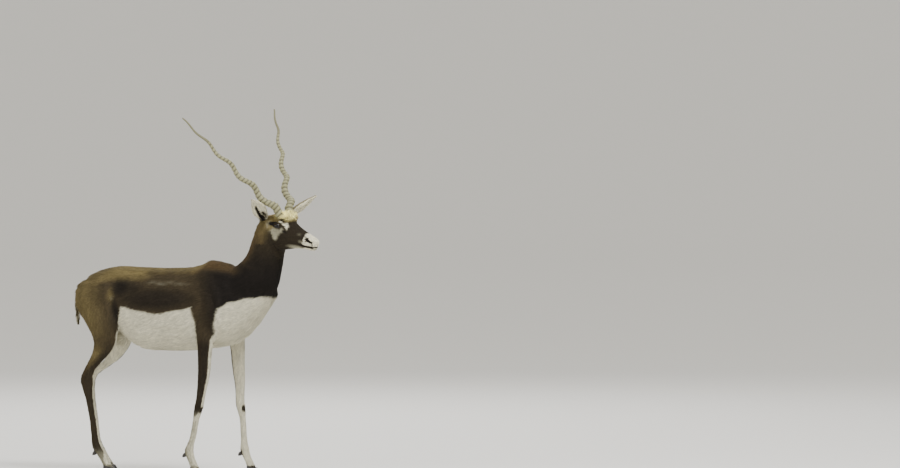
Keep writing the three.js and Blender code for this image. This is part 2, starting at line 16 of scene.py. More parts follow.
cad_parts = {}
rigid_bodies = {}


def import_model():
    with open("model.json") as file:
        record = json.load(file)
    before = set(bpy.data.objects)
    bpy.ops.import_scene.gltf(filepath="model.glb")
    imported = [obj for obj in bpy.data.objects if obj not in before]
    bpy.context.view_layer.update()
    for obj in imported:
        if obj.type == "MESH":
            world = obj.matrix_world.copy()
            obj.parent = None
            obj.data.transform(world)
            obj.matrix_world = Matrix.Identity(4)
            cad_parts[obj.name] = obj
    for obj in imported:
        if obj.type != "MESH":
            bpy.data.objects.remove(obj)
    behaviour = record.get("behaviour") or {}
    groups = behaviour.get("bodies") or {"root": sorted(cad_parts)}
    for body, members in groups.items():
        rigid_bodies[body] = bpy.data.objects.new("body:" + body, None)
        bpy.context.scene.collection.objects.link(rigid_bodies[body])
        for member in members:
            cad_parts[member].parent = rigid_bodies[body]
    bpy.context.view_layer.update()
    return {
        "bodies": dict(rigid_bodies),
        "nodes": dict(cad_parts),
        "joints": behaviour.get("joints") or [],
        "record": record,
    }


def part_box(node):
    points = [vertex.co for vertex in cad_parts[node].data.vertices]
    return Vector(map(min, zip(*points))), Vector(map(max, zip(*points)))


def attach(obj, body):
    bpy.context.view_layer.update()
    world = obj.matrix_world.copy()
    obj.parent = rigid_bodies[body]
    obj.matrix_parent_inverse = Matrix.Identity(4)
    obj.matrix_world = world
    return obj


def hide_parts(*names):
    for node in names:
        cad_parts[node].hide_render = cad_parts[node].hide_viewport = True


log = logging.getLogger("blackbuck")

BODY = "root"
UV_NAME = "OFBake"
SEED = 4585

# The design frame is the CAD's before it was centred: millimetres, X forward, Y left, Z up.
HEAD_PLACE = np.array([303.0, -20.0, 887.0])
HEAD_TURN_DEG = {"yaw": -17.0, "pitch": 11.3, "roll": 3.5}
EYE_PLACE = np.array([49.0, 38.0, 23.0])
EYE_RADIUS = 15.5
EYE_SIGHT = np.array([0.36, 0.92, 0.12])
MOUTH_LEVEL = -24.0
CORONET = 27.0
FETLOCK = 90.0
KNEE = 248.0
HOCK = 332.0

Triple = tuple[float, float, float]


class Part(IntEnum):
    """A region of the skin with its own lie of hair, markings and unwrap."""

    TORSO = 0
    NECK = 1
    HEAD = 2
    TAIL = 3
    EAR_RIGHT = 4
    EAR_LEFT = 5
    FORE_RIGHT = 6
    FORE_LEFT = 7
    HIND_RIGHT = 8
    HIND_LEFT = 9


FORELEGS = (Part.FORE_RIGHT, Part.FORE_LEFT)
HINDLEGS = (Part.HIND_RIGHT, Part.HIND_LEFT)
LEG_PARTS = FORELEGS + HINDLEGS
EARS = (Part.EAR_RIGHT, Part.EAR_LEFT)
LEGS: dict[str, Part] = {
    "foreleg_right": Part.FORE_RIGHT,
    "foreleg_left": Part.FORE_LEFT,
    "hindleg_right": Part.HIND_RIGHT,
    "hindleg_left": Part.HIND_LEFT,
}
# The CAD nodes that the skin replaces, and the region that each becomes
FLESH: dict[str, Part] = {
    "torso": Part.TORSO,
    "neck": Part.NECK,
    "head": Part.HEAD,
    "tail": Part.TAIL,
    "ear_right": Part.EAR_RIGHT,
    "ear_left": Part.EAR_LEFT,
    **{
        f"{leg}_{piece}": part
        for leg, part in LEGS.items()
        for piece in ("forearm" if part in FORELEGS else "thigh", "cannon", "foot")
    },
}

# Centre line of each leg by height: X forward and Y out from the midline
LEG_LINES: dict[Part, list[Triple]] = {
    Part.FORE_RIGHT: [
        (18, 25, 71), (40, 16, 71), (60, 7, 71), (80, 0, 71), (94, 0, 71.5), (137, 15, 73),
        (180, 24, 74), (215, 31, 75), (248, 40, 76), (300, 50, 78), (364, 60, 79), (439, 64, 80),
        (493, 67, 79), (550, 76, 73), (600, 84, 66), (660, 76, 59), (738, 50, 45),
    ],
    Part.FORE_LEFT: [
        (18, 186, 74), (40, 176, 74), (60, 166, 74), (80, 158, 74), (94, 156, 74.5), (137, 153, 75),
        (205, 147, 77), (256, 138, 78), (320, 136, 80), (403, 129, 81), (457, 127, 80),
        (500, 121, 78), (550, 112, 72), (600, 101, 66), (660, 82, 59), (738, 52, 45),
    ],
    Part.HIND_RIGHT: [
        (18, -312, 69), (40, -325, 69), (60, -338, 69), (82, -352, 69.5), (97, -361, 70),
        (137, -368, 71), (180, -372, 72), (227, -380, 73), (274, -388, 74), (332, -396, 75),
        (352, -395, 75), (376, -384, 75), (403, -364, 75), (439, -338, 74), (475, -326, 72),
        (511, -330, 70), (547, -341, 67), (608, -356, 59), (650, -355, 55), (685, -350, 50),
        (726, -342, 42),
    ],
}
# The left hind leg stands this far behind the right one, all of it from the hock down
HIND_STEP_BACK = 54.0
HIND_STEP_TOP = 400.0


def smoothstep(low: float, high: float, value: np.ndarray) -> np.ndarray:
    """Eases from 0 at low to 1 at high.

    Args:
        low: Where the result leaves 0. It may be above high.
        high: Where the result reaches 1.
        value: The values to ease.

    Returns:
        Shares from 0 to 1.
    """
    share = np.clip((value - low) / (high - low), 0.0, 1.0)
    return share * share * (3.0 - 2.0 * share)


def unit(vectors: np.ndarray) -> np.ndarray:
    """Vectors scaled to length one."""
    return vectors / np.maximum(np.linalg.norm(vectors, axis=-1, keepdims=True), 1e-9)


def bell(value: np.ndarray) -> np.ndarray:
    """One where the value is 0, falling off smoothly on both sides."""
    return np.exp(-(value**2))


def folded(points: np.ndarray) -> np.ndarray:
    """Points with those on the right mirrored over to the left."""
    return np.stack([points[:, 0], np.abs(points[:, 1]), points[:, 2]], axis=1)


def starts_of(sizes: np.ndarray) -> np.ndarray:
    """Where each face's corners start in the row of all the faces' corners."""
    return np.concatenate([[0], np.cumsum(sizes)[:-1]])


def values_of(
    items: bpy.types.bpy_prop_collection, key: str, width: int = 1, kind: type = float
) -> np.ndarray:
    """One property of all items of a mesh, in rows if it is wider than one."""
    values = np.zeros(len(items) * width, dtype=kind)
    items.foreach_get(key, values)
    return values.reshape(-1, width) if width > 1 else values


def finished(form: bmesh.types.BMesh, name: str) -> bpy.types.Mesh:
    """A mesh made from an edited form, which is freed."""
    mesh = bpy.data.meshes.new(name)
    form.to_mesh(mesh)
    form.free()
    return mesh


def shade_smooth(mesh: bpy.types.Mesh) -> None:
    """Shades all faces of a mesh smooth."""
    mesh.polygons.foreach_set("use_smooth", np.ones(len(mesh.polygons), dtype=bool))


def added(name: str, data: bpy.types.ID) -> bpy.types.Object:
    """A new object in the scene."""
    item = bpy.data.objects.new(name, data)
    bpy.context.scene.collection.objects.link(item)
    return item


LEG_LINES[Part.HIND_LEFT] = [
    (height, x - HIND_STEP_BACK * float(smoothstep(HIND_STEP_TOP, HOCK, np.array(height))), out)
    for height, x, out in LEG_LINES[Part.HIND_RIGHT]
]


def side_of(part: Part) -> int:
    """1 for a part on the animal's left, -1 for one on its right."""
    return 1 if part.name.endswith("LEFT") else -1


def leg_centre(part: Part, height: np.ndarray | float) -> tuple[np.ndarray, np.ndarray]:
    """X and Y of a leg's centre line at each height, in the design frame."""
    heights, xs, outs = np.array(LEG_LINES[part]).T
    return np.interp(height, heights, xs), side_of(part) * np.interp(height, heights, outs)


def turn_matrix(yaw: float, pitch: float, roll: float) -> np.ndarray:
    """Rotation by roll about X, then pitch about Y, then yaw about Z, in degrees."""
    z = Matrix.Rotation(math.radians(yaw), 3, "Z")
    y = Matrix.Rotation(math.radians(pitch), 3, "Y")
    x = Matrix.Rotation(math.radians(roll), 3, "X")
    return np.array(z @ y @ x)


@dataclass(frozen=True)
class Placement:
    """Where the design frame and the head's own frame lie in the row frame."""

    shift: np.ndarray
    head_turn: np.ndarray

    @classmethod
    def measured(cls) -> "Placement":
        """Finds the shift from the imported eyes, whose middle is known in the design frame."""
        head_turn = turn_matrix(**HEAD_TURN_DEG)
        corners = [corner for name in ("eye_right", "eye_left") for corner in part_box(name)]
        packed = 1000.0 * np.mean([np.array(corner) for corner in corners], axis=0)
        drawn = HEAD_PLACE + head_turn @ (EYE_PLACE * [1, 0, 1])
        return cls(packed - drawn, head_turn)

    def to_row(self, points: np.ndarray) -> np.ndarray:
        """Design millimetres to row metres."""
        return (points + self.shift) / 1000.0

    def to_design(self, points: np.ndarray) -> np.ndarray:
        """Row metres to design millimetres."""
        return points * 1000.0 - self.shift

    def to_head(self, points: np.ndarray) -> np.ndarray:
        """Design millimetres to the head's own frame."""
        return (points - HEAD_PLACE) @ self.head_turn

    def from_head(self, points: np.ndarray) -> np.ndarray:
        """The head's own frame to design millimetres."""
        return points @ self.head_turn.T + HEAD_PLACE

    def to_ear(self, points: np.ndarray, side: int) -> np.ndarray:
        """Design millimetres to an ear's own frame."""
        frame = ear_frame(side)
        return (self.to_head(points) - frame[:3, 3]) @ frame[:3, :3]

    def out_of_ear(self, normals: np.ndarray, side: int) -> np.ndarray:
        """How far directions in the design frame point out of an ear's opening."""
        return (normals @ self.head_turn) @ ear_frame(side)[:3, 1]


def eye_axes(side: int) -> tuple[np.ndarray, np.ndarray, np.ndarray]:
    """Forward along the lids, up across them, and out along the line of sight, in the head's frame."""
    sight = unit(EYE_SIGHT * [1, side, 1])
    forward = np.array([1.0, 0.0, -0.34])
    forward = unit(forward - sight * (forward @ sight))
    up = np.cross(sight, forward) * -side
    return forward, up if up[2] > 0 else -up, sight


@dataclass
class Skin:
    """The skin as arrays in the design frame, with what grows and shows on it."""

    points: np.ndarray
    faces: np.ndarray
    face_sizes: np.ndarray
    edges: np.ndarray
    labels: np.ndarray
    normals: np.ndarray = field(default_factory=lambda: np.zeros((0, 3)))
    lie: np.ndarray = field(default_factory=lambda: np.zeros((0, 3)))

    def neighbour_mean(self, values: np.ndarray) -> np.ndarray:
        """Mean of each corner's neighbours along its edges."""
        count = len(self.points)
        a, b = self.edges.T
        degree = np.bincount(a, minlength=count) + np.bincount(b, minlength=count)
        total = np.stack(
            [
                np.bincount(a, values[b, axis], count) + np.bincount(b, values[a, axis], count)
                for axis in range(values.shape[1])
            ],
            axis=1,
        )
        return total / np.maximum(degree, 1)[:, None]

    def relax(self, rounds: np.ndarray, hold: float = 0.5, swell: float = -0.52) -> None:
        """Smooths the form without shrinking it.

        Args:
            rounds: How many rounds each corner takes part in.
            hold: Share of the way to the neighbours' mean at each first half of a round.
            swell: The same for the second half, below zero to give the volume back.
        """
        for step in range(int(rounds.max())):
            active = (rounds > step)[:, None]
            for share in (hold, swell):
                away = self.neighbour_mean(self.points) - self.points
                self.points = self.points + share * active * away

    def evened(self, values: np.ndarray, rounds: int) -> np.ndarray:
        """One number on every corner, drawn towards its neighbours' in several rounds."""
        for _ in range(rounds):
            values = 0.5 * values + 0.5 * self.neighbour_mean(values[:, None])[:, 0]
        return values

    def refresh_normals(self) -> None:
        """Takes the normals of the corners from the faces round them."""
        ring = self.face_corners()
        a = self.points[ring[:, 2]] - self.points[ring[:, 0]]
        b = self.points[ring[:, 3]] - self.points[ring[:, 1]]
        flat = np.cross(a, b)
        total = np.zeros_like(self.points)
        for corner in range(4):
            for axis in range(3):
                total[:, axis] += np.bincount(ring[:, corner], flat[:, axis], len(total))
        self.normals = unit(total)

    def face_corners(self) -> np.ndarray:
        """Four corners of every face, a triangle's last one given twice."""
        starts = starts_of(self.face_sizes)
        last = np.minimum(self.face_sizes - 1, 3)
        return np.stack([self.faces[starts + np.minimum(k, last)] for k in range(4)], axis=1)


@dataclass(frozen=True)
class Swelling:
    """A soft rise or hollow of the flesh: where, how wide on each axis and how high."""

    centre: Triple
    spread: Triple
    height: float


# Muscles and bones under the skin of both sides, in the design frame
SWELLINGS: tuple[Swelling, ...] = (
    Swelling((60, -80, 640), (42, 60, 70), 5.0),
    Swelling((96, -84, 575), (26, 50, 40), 4.0),
    Swelling((20, -88, 560), (24, 50, 60), -3.0),
    Swelling((-318, -84, 640), (46, 60, 44), 4.0),
    Swelling((-266, -84, 585), (24, 60, 44), -3.0),
    Swelling((-300, -88, 540), (22, 60, 30), 3.0),
    Swelling((-372, -60, 560), (20, 60, 80), 2.5),
    Swelling((-262, -70, 712), (18, 24, 14), 3.0),
    Swelling((-200, -90, 690), (50, 60, 16), -3.0),
    Swelling((-80, -90, 708), (120, 60, 12), -2.0),
    Swelling((60, -30, 772), (30, 30, 18), 3.0),
    Swelling((160, -60, 700), (30, 40, 60), -3.0),
)


# Rounds of smoothing by part, and lower down the legs
SMOOTHING: dict[Part, int] = {
    Part.TORSO: 46,
    Part.NECK: 40,
    Part.HEAD: 7,
    Part.TAIL: 8,
    Part.EAR_RIGHT: 3,
    Part.EAR_LEFT: 3,
    Part.FORE_RIGHT: 16,
    Part.FORE_LEFT: 16,
    Part.HIND_RIGHT: 16,
    Part.HIND_LEFT: 16,
}
LOW_LEG_SMOOTHING = 7
FOOT_SMOOTHING = 5


@dataclass
class SkinBuilder:
    """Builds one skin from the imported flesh, smooth where the CAD has facets and gaps."""

    nodes: dict[str, bpy.types.Object]
    place: Placement
    grow: float = 0.4
    body_voxel: float = 4.8
    head_voxel: float = 1.82
    neck_cut: Triple = (283.0, -15.0, 826.0)
    neck_cut_up: Triple = (0.3, 0.0, 0.95)
    cut_gap: float = 4.0
    low_leg: float = 420.0
    foot: float = FETLOCK + 20
    blend_rounds: int = 12

    def gathered(self, names: Iterable[str]) -> tuple[bpy.types.Mesh, list[Part]]:
        """Copies of the named nodes in one mesh, grown until they close the gaps between them."""
        whole = bmesh.new()
        labels: list[Part] = []
        for name in names:
            part = bmesh.new()
            part.from_mesh(self.nodes[name].data)
            bmesh.ops.remove_doubles(part, verts=part.verts, dist=1e-5)
            part.normal_update()
            for vert in part.verts:
                vert.co += vert.normal * self.grow / 1000.0
            mesh = finished(part, "copy")
            whole.from_mesh(mesh)
            bpy.data.meshes.remove(mesh)
            labels += [FLESH.get(name, Part.HEAD)] * (len(whole.faces) - len(labels))
        return finished(whole, "gathered"), labels

    def remeshed(self, mesh: bpy.types.Mesh, voxel: float) -> bpy.types.Mesh:
        """An even skin of square faces round a mesh of overlapping closed bodies."""
        source = added("source", mesh)
        modifier = source.modifiers.new("even", "REMESH")
        modifier.mode = "VOXEL"
        modifier.voxel_size = voxel / 1000.0
        graph = bpy.context.evaluated_depsgraph_get()
        result = bpy.data.meshes.new_from_object(source.evaluated_get(graph))
        bpy.data.objects.remove(source)
        return result

    def cut(self, mesh: bpy.types.Mesh, keep_above: bool) -> bmesh.types.BMesh:
        """The part of a mesh above or below the cut across the neck, without a lid."""
        half = bmesh.new()
        half.from_mesh(mesh)
        up = unit(np.array(self.neck_cut_up))
        offset = (0.5 if keep_above else -0.5) * self.cut_gap
        centre = self.place.to_row(np.array(self.neck_cut) + up * offset)
        bmesh.ops.bisect_plane(
            half,
            geom=half.verts[:] + half.edges[:] + half.faces[:],
            plane_co=centre,
            plane_no=up,
            clear_inner=keep_above,
            clear_outer=not keep_above,
        )
        return half

    def build(self) -> Skin:
        """Joins a fine head to a coarser body and returns the skin in the design frame."""
        body_raw, body_labels = self.gathered(FLESH)
        head_names = ["head", "neck", "ear_right", "ear_left", "eye_right", "eye_left"]
        head_raw, _ = self.gathered(head_names)
        tree = BVHTree.FromPolygons(
            [vert.co for vert in body_raw.vertices], [list(face.vertices) for face in body_raw.polygons]
        )
        whole = self.cut(self.remeshed(body_raw, self.body_voxel), keep_above=False)
        upper = self.cut(self.remeshed(head_raw, self.head_voxel), keep_above=True)
        whole.from_mesh(finished(upper, "upper"))
        rims = [edge for edge in whole.edges if edge.is_boundary]
        bmesh.ops.bridge_loops(whole, edges=rims)
        bmesh.ops.recalc_face_normals(whole, faces=whole.faces[:])
        mesh = finished(whole, "skin")
        skin = self.as_arrays(mesh)
        skin.labels = np.array(
            [body_labels[tree.find_nearest(vert.co)[2]] for vert in mesh.vertices], dtype=np.int32
        )
        self.smooth(skin)
        return skin

    def as_arrays(self, mesh: bpy.types.Mesh) -> Skin:
        """The mesh's corners, faces and edges as arrays."""
        points = self.place.to_design(values_of(mesh.vertices, "co", 3))
        faces = values_of(mesh.loops, "vertex_index", kind=np.int32)
        sizes = values_of(mesh.polygons, "loop_total", kind=np.int32)
        edges = values_of(mesh.edges, "vertices", 2, np.int32)
        return Skin(points, faces, sizes, edges, np.zeros(len(points)))

    def smooth(self, skin: Skin) -> None:
        """Rubs out facets and the steps at the seams, most on the broad parts."""
        rounds = np.array([float(SMOOTHING[part]) for part in Part])[skin.labels]
        height = skin.points[:, 2]
        rounds[np.isin(skin.labels, LEG_PARTS) & (height < self.low_leg)] = LOW_LEG_SMOOTHING
        rounds[height < self.foot] = FOOT_SMOOTHING
        skin.relax(skin.evened(rounds, self.blend_rounds))
        skin.refresh_normals()


@dataclass
class Sculptor:
    """Shapes muscles, lids, nostrils and lips in the skin and sinks it by the depth of the coat."""

    place: Placement
    body_coat: float = 3.4
    ear_coat: float = 0.6
    tail_coat: float = 4.0
    blend_rounds: int = 10
    rib_height: float = 0.5
    lid_lift: float = 1.6
    eye_sink: float = 2.4
    lid_crease: float = 1.2
    nostril_depth: float = 3.4
    gland_depth: float = 1.8
    lip_depth: float = 1.6

    def shape(self, skin: Skin) -> None:
        """Takes every step in turn, with fresh normals after each."""
        for step in (self.swell, self.sink, self.lids, self.muzzle):
            step(skin)
            skin.refresh_normals()

    def swell(self, skin: Skin) -> None:
        """Raises the muscles and bones of the trunk."""
        rise = np.zeros(len(skin.points))
        for swelling in SWELLINGS:
            for side in (1, -1):
                gap = (skin.points - np.array(swelling.centre) * [1, side, 1]) / np.array(swelling.spread)
                rise += swelling.height * np.exp(-(gap**2).sum(1))
        x, _, z = skin.points.T
        chest = np.exp(-(((x + 70) / 90) ** 2 + ((z - 600) / 60) ** 2)) * (skin.labels == Part.TORSO)
        ribs = np.sin(x / 9.5 + z / 60.0) * chest
        skin.points = skin.points + skin.normals * (rise + self.rib_height * ribs)[:, None]

    def coat_depth(self, skin: Skin) -> np.ndarray:
        """How far the skin lies inside the CAD's form, which the tips of the coat reach."""
        depth = np.full(len(skin.points), self.body_coat)
        local = self.place.to_head(skin.points)
        head = skin.labels == Part.HEAD
        depth[head] = np.interp(local[head, 0], [-20, 10, 60, 130, 200], [3.0, 1.8, 1.4, 1.0, 0.5])
        depth[np.isin(skin.labels, EARS)] = self.ear_coat
        depth[skin.labels == Part.TAIL] = self.tail_coat
        legs = np.isin(skin.labels, LEG_PARTS)
        depth[legs] = np.interp(skin.points[legs, 2], [20, 100, 330, 560], [0.9, 1.4, 1.8, 3.2])
        return skin.evened(depth, self.blend_rounds)

    def sink(self, skin: Skin) -> None:
        """Moves the skin in by the depth of the coat."""
        skin.points = skin.points - skin.normals * self.coat_depth(skin)[:, None]

    def lids(self, skin: Skin) -> None:
        """Opens the lids over both eyes and folds them round the eyeballs."""
        for side in (1, -1):
            local = self.place.to_head(skin.points)
            centre = EYE_PLACE * [1, side, 1]
            _, up, _ = eye_axes(side)
            gap = local - centre
            reach = np.linalg.norm(gap, axis=1)
            opening = lid_opening(local, side)
            inner = EYE_RADIUS - self.eye_sink
            lid = EYE_RADIUS + self.lid_lift
            target = inner + (lid - inner) * smoothstep(0.88, 1.06, opening)
            crease = -self.lid_crease * bell((opening - 1.6) / 0.13) * (gap @ up > 0)
            share = 1.0 - smoothstep(1.35, 2.1, opening)
            fresh = reach * (1 - share) + target * share + crease
            moved = centre + gap * (fresh / np.maximum(reach, 1e-6))[:, None]
            near = (opening < 3.0)[:, None]
            skin.points = np.where(near, self.place.from_head(moved), skin.points)

    def muzzle(self, skin: Skin) -> None:
        """Deepens the nostrils, the line of the mouth and the gland in front of each eye."""
        local = self.place.to_head(skin.points)
        depth = np.zeros(len(local))
        for side in (1, -1):
            for shape, most in ((NOSTRIL, self.nostril_depth), (GLAND, self.gland_depth)):
                depth += most * np.exp(-1.4 * slit(local, side, shape) ** 2)
        lips = bell((local[:, 2] - lip_level(local[:, 0])) / 1.9)
        depth += self.lip_depth * lips * smoothstep(140, 158, local[:, 0]) * (skin.labels == Part.HEAD)
        skin.points = skin.points - skin.normals * depth[:, None]


class Mark(Enum):
    """A layer of the coat's pattern, stored on every corner with its border at one half."""

    RUST = "mark_rust"
    BLACK = "mark_black"
    TAN = "mark_tan"
    CREAM = "mark_cream"
    GREY = "mark_grey"
    WHITE = "mark_white"
    DARK = "mark_dark"


# Height of the border between the dark side and the white belly, along the body
BELLY_LINE = np.array(
    [
        (-430, 622), (-300, 616), (-250, 610), (-215, 601), (-175, 590), (-145, 585), (-112, 583),
        (-88, 585), (-54, 594), (-7, 598), (28, 607), (123, 607), (164, 626), (213, 636), (273, 647),
        (320, 652), (420, 668),
    ],
    dtype=float,
)
# Height of the back along the body
BACK_LINE = np.array(
    [
        (-440, 690), (-396, 722), (-304, 748), (-214, 747), (-97, 745), (15, 754), (58, 771), (113, 766),
        (180, 748), (215, 765), (232, 832), (250, 890),
    ],
    dtype=float,
)
# The dark mark that runs down the shoulder to the foreleg: height, and its edges from the leg's line
SHOULDER_MARK = np.array(
    [
        (440, -42, -6), (470, -38, 8), (499, -32, 27), (522, -36, 36), (552, -42, 35), (606, -60, 40),
        (640, -90, 90),
    ],
    dtype=float,
)
# Front border of the dark thigh by height
THIGH_FRONT = np.array(
    [(430, -296), (483, -284), (547, -272), (584, -257), (610, -247), (640, -225)], dtype=float
)


@dataclass(frozen=True)
class Spot:
    """An ellipsoid inside which a mark holds, on both sides of the midline."""

    mark: Mark
    centre: Triple
    reach: Triple
    strength: float = 1.0
    softness: float = 7.0

    def field(self, points: np.ndarray) -> np.ndarray:
        """The mark's field at points that are all on the left."""
        gap = np.linalg.norm((points - np.array(self.centre)) / np.array(self.reach), axis=1)
        return self.strength * smoothstep(-self.softness, self.softness, (1.0 - gap) * min(self.reach))


# In the head's own frame
HEAD_SPOTS: tuple[Spot, ...] = (
    Spot(Mark.WHITE, (80, 33, 36), (11, 17, 6.5)),
    Spot(Mark.WHITE, (89, 31, 28), (7, 13, 7), 0.9),
    Spot(Mark.WHITE, (67, 42, 41), (8, 9, 3.4), 0.85),
    Spot(Mark.WHITE, (92, 32, 20), (5, 11, 8), 0.6),
    Spot(Mark.WHITE, (176, 0, 11), (18, 24, 9)),
    Spot(Mark.WHITE, (192, 0, 2), (16, 24, 13)),
    Spot(Mark.WHITE, (206, 0, -14), (13, 20, 17)),
    Spot(Mark.WHITE, (178, 18, -18), (23, 12, 8)),
    Spot(Mark.WHITE, (164, 19, -4), (6, 12, 13), 0.8),
    Spot(Mark.WHITE, (182, 0, -39), (30, 22, 10)),
    Spot(Mark.WHITE, (140, 0, -46), (34, 16, 9), 0.8),
    Spot(Mark.GREY, (48, 46, 2), (23, 15, 15), 1.0, 9),
    Spot(Mark.GREY, (50, 42, -14), (11, 14, 14), 1.0, 9),
    Spot(Mark.GREY, (72, 42, 12), (9, 12, 10), 0.8, 9),
    Spot(Mark.GREY, (14, 44, 27), (9, 14, 18), 0.6, 9),
    # Painted sheen: faint grey on the dark hair at the sides of the face between the eyes and the muzzle
    Spot(Mark.GREY, (140, 21, 10), (10, 12, 6), 0.38, 9),
    Spot(Mark.GREY, (150, 22, -14), (11, 12, 7), 0.5, 9),
    Spot(Mark.GREY, (128, 10, -40), (34, 22, 9), 0.85, 9),
    Spot(Mark.TAN, (22, 44, 28), (36, 24, 26), 0.8, 18),
    Spot(Mark.TAN, (-12, 44, 4), (34, 30, 46), 0.55, 34),
    Spot(Mark.CREAM, (64, 0, 64), (36, 34, 17), 1.0, 16),
    Spot(Mark.CREAM, (38, 24, 57), (20, 16, 8), 0.5, 10),
    Spot(Mark.DARK, (68, 31, 49), (19, 12, 4.4), 0.8, 4),
    Spot(Mark.DARK, (34, 46, 28), (18, 15, 11), 1.0, 4),
    Spot(Mark.DARK, (199, 19, -17), (2.6, 9, 8), 0.75, 3),
    Spot(Mark.DARK, (208, 0, -17), (8, 1.3, 9), 0.75, 2),
)
# In the design frame: the light patch of the hip, a streak of painted highlight along the flank, painted
# sheen in the thigh's middle, the dark before the thigh
BODY_SPOTS: tuple[Spot, ...] = (
    Spot(Mark.TAN, (-290, 92, 646), (13, 60, 26), 0.62, 16),
    Spot(Mark.GREY, (-284, 92, 638), (7, 60, 12), 0.36, 10),
    # Painted sheen: a weak darker, greyer patch in the middle of the thigh
    Spot(Mark.BLACK, (-342, 92, 652), (30, 60, 44), 0.3, 30),
    # Painted highlight: a grey streak along the flank over the ribs, where light catches the coat
    Spot(Mark.GREY, (-132, 84, 694), (24, 60, 7), 0.4, 11),
    Spot(Mark.GREY, (-98, 84, 690), (26, 60, 8), 0.44, 12),
    Spot(Mark.GREY, (-64, 84, 694), (26, 60, 6), 0.38, 11),
    Spot(Mark.GREY, (-24, 84, 689), (34, 60, 5), 0.42, 11),
    Spot(Mark.TAN, (-198, 80, 714), (58, 60, 15), 0.66, 16),
    Spot(Mark.BLACK, (-110, 90, 634), (170, 60, 44), 0.7, 30),
    Spot(Mark.BLACK, (-248, 88, 674), (36, 60, 38), 0.8, 28),
    Spot(Mark.BLACK, (-205, 86, 668), (54, 60, 30), 0.62, 26),
    Spot(Mark.BLACK, (-274, 90, 590), (20, 60, 54), 0.8, 18),
)


Fields = dict[Mark, np.ndarray]


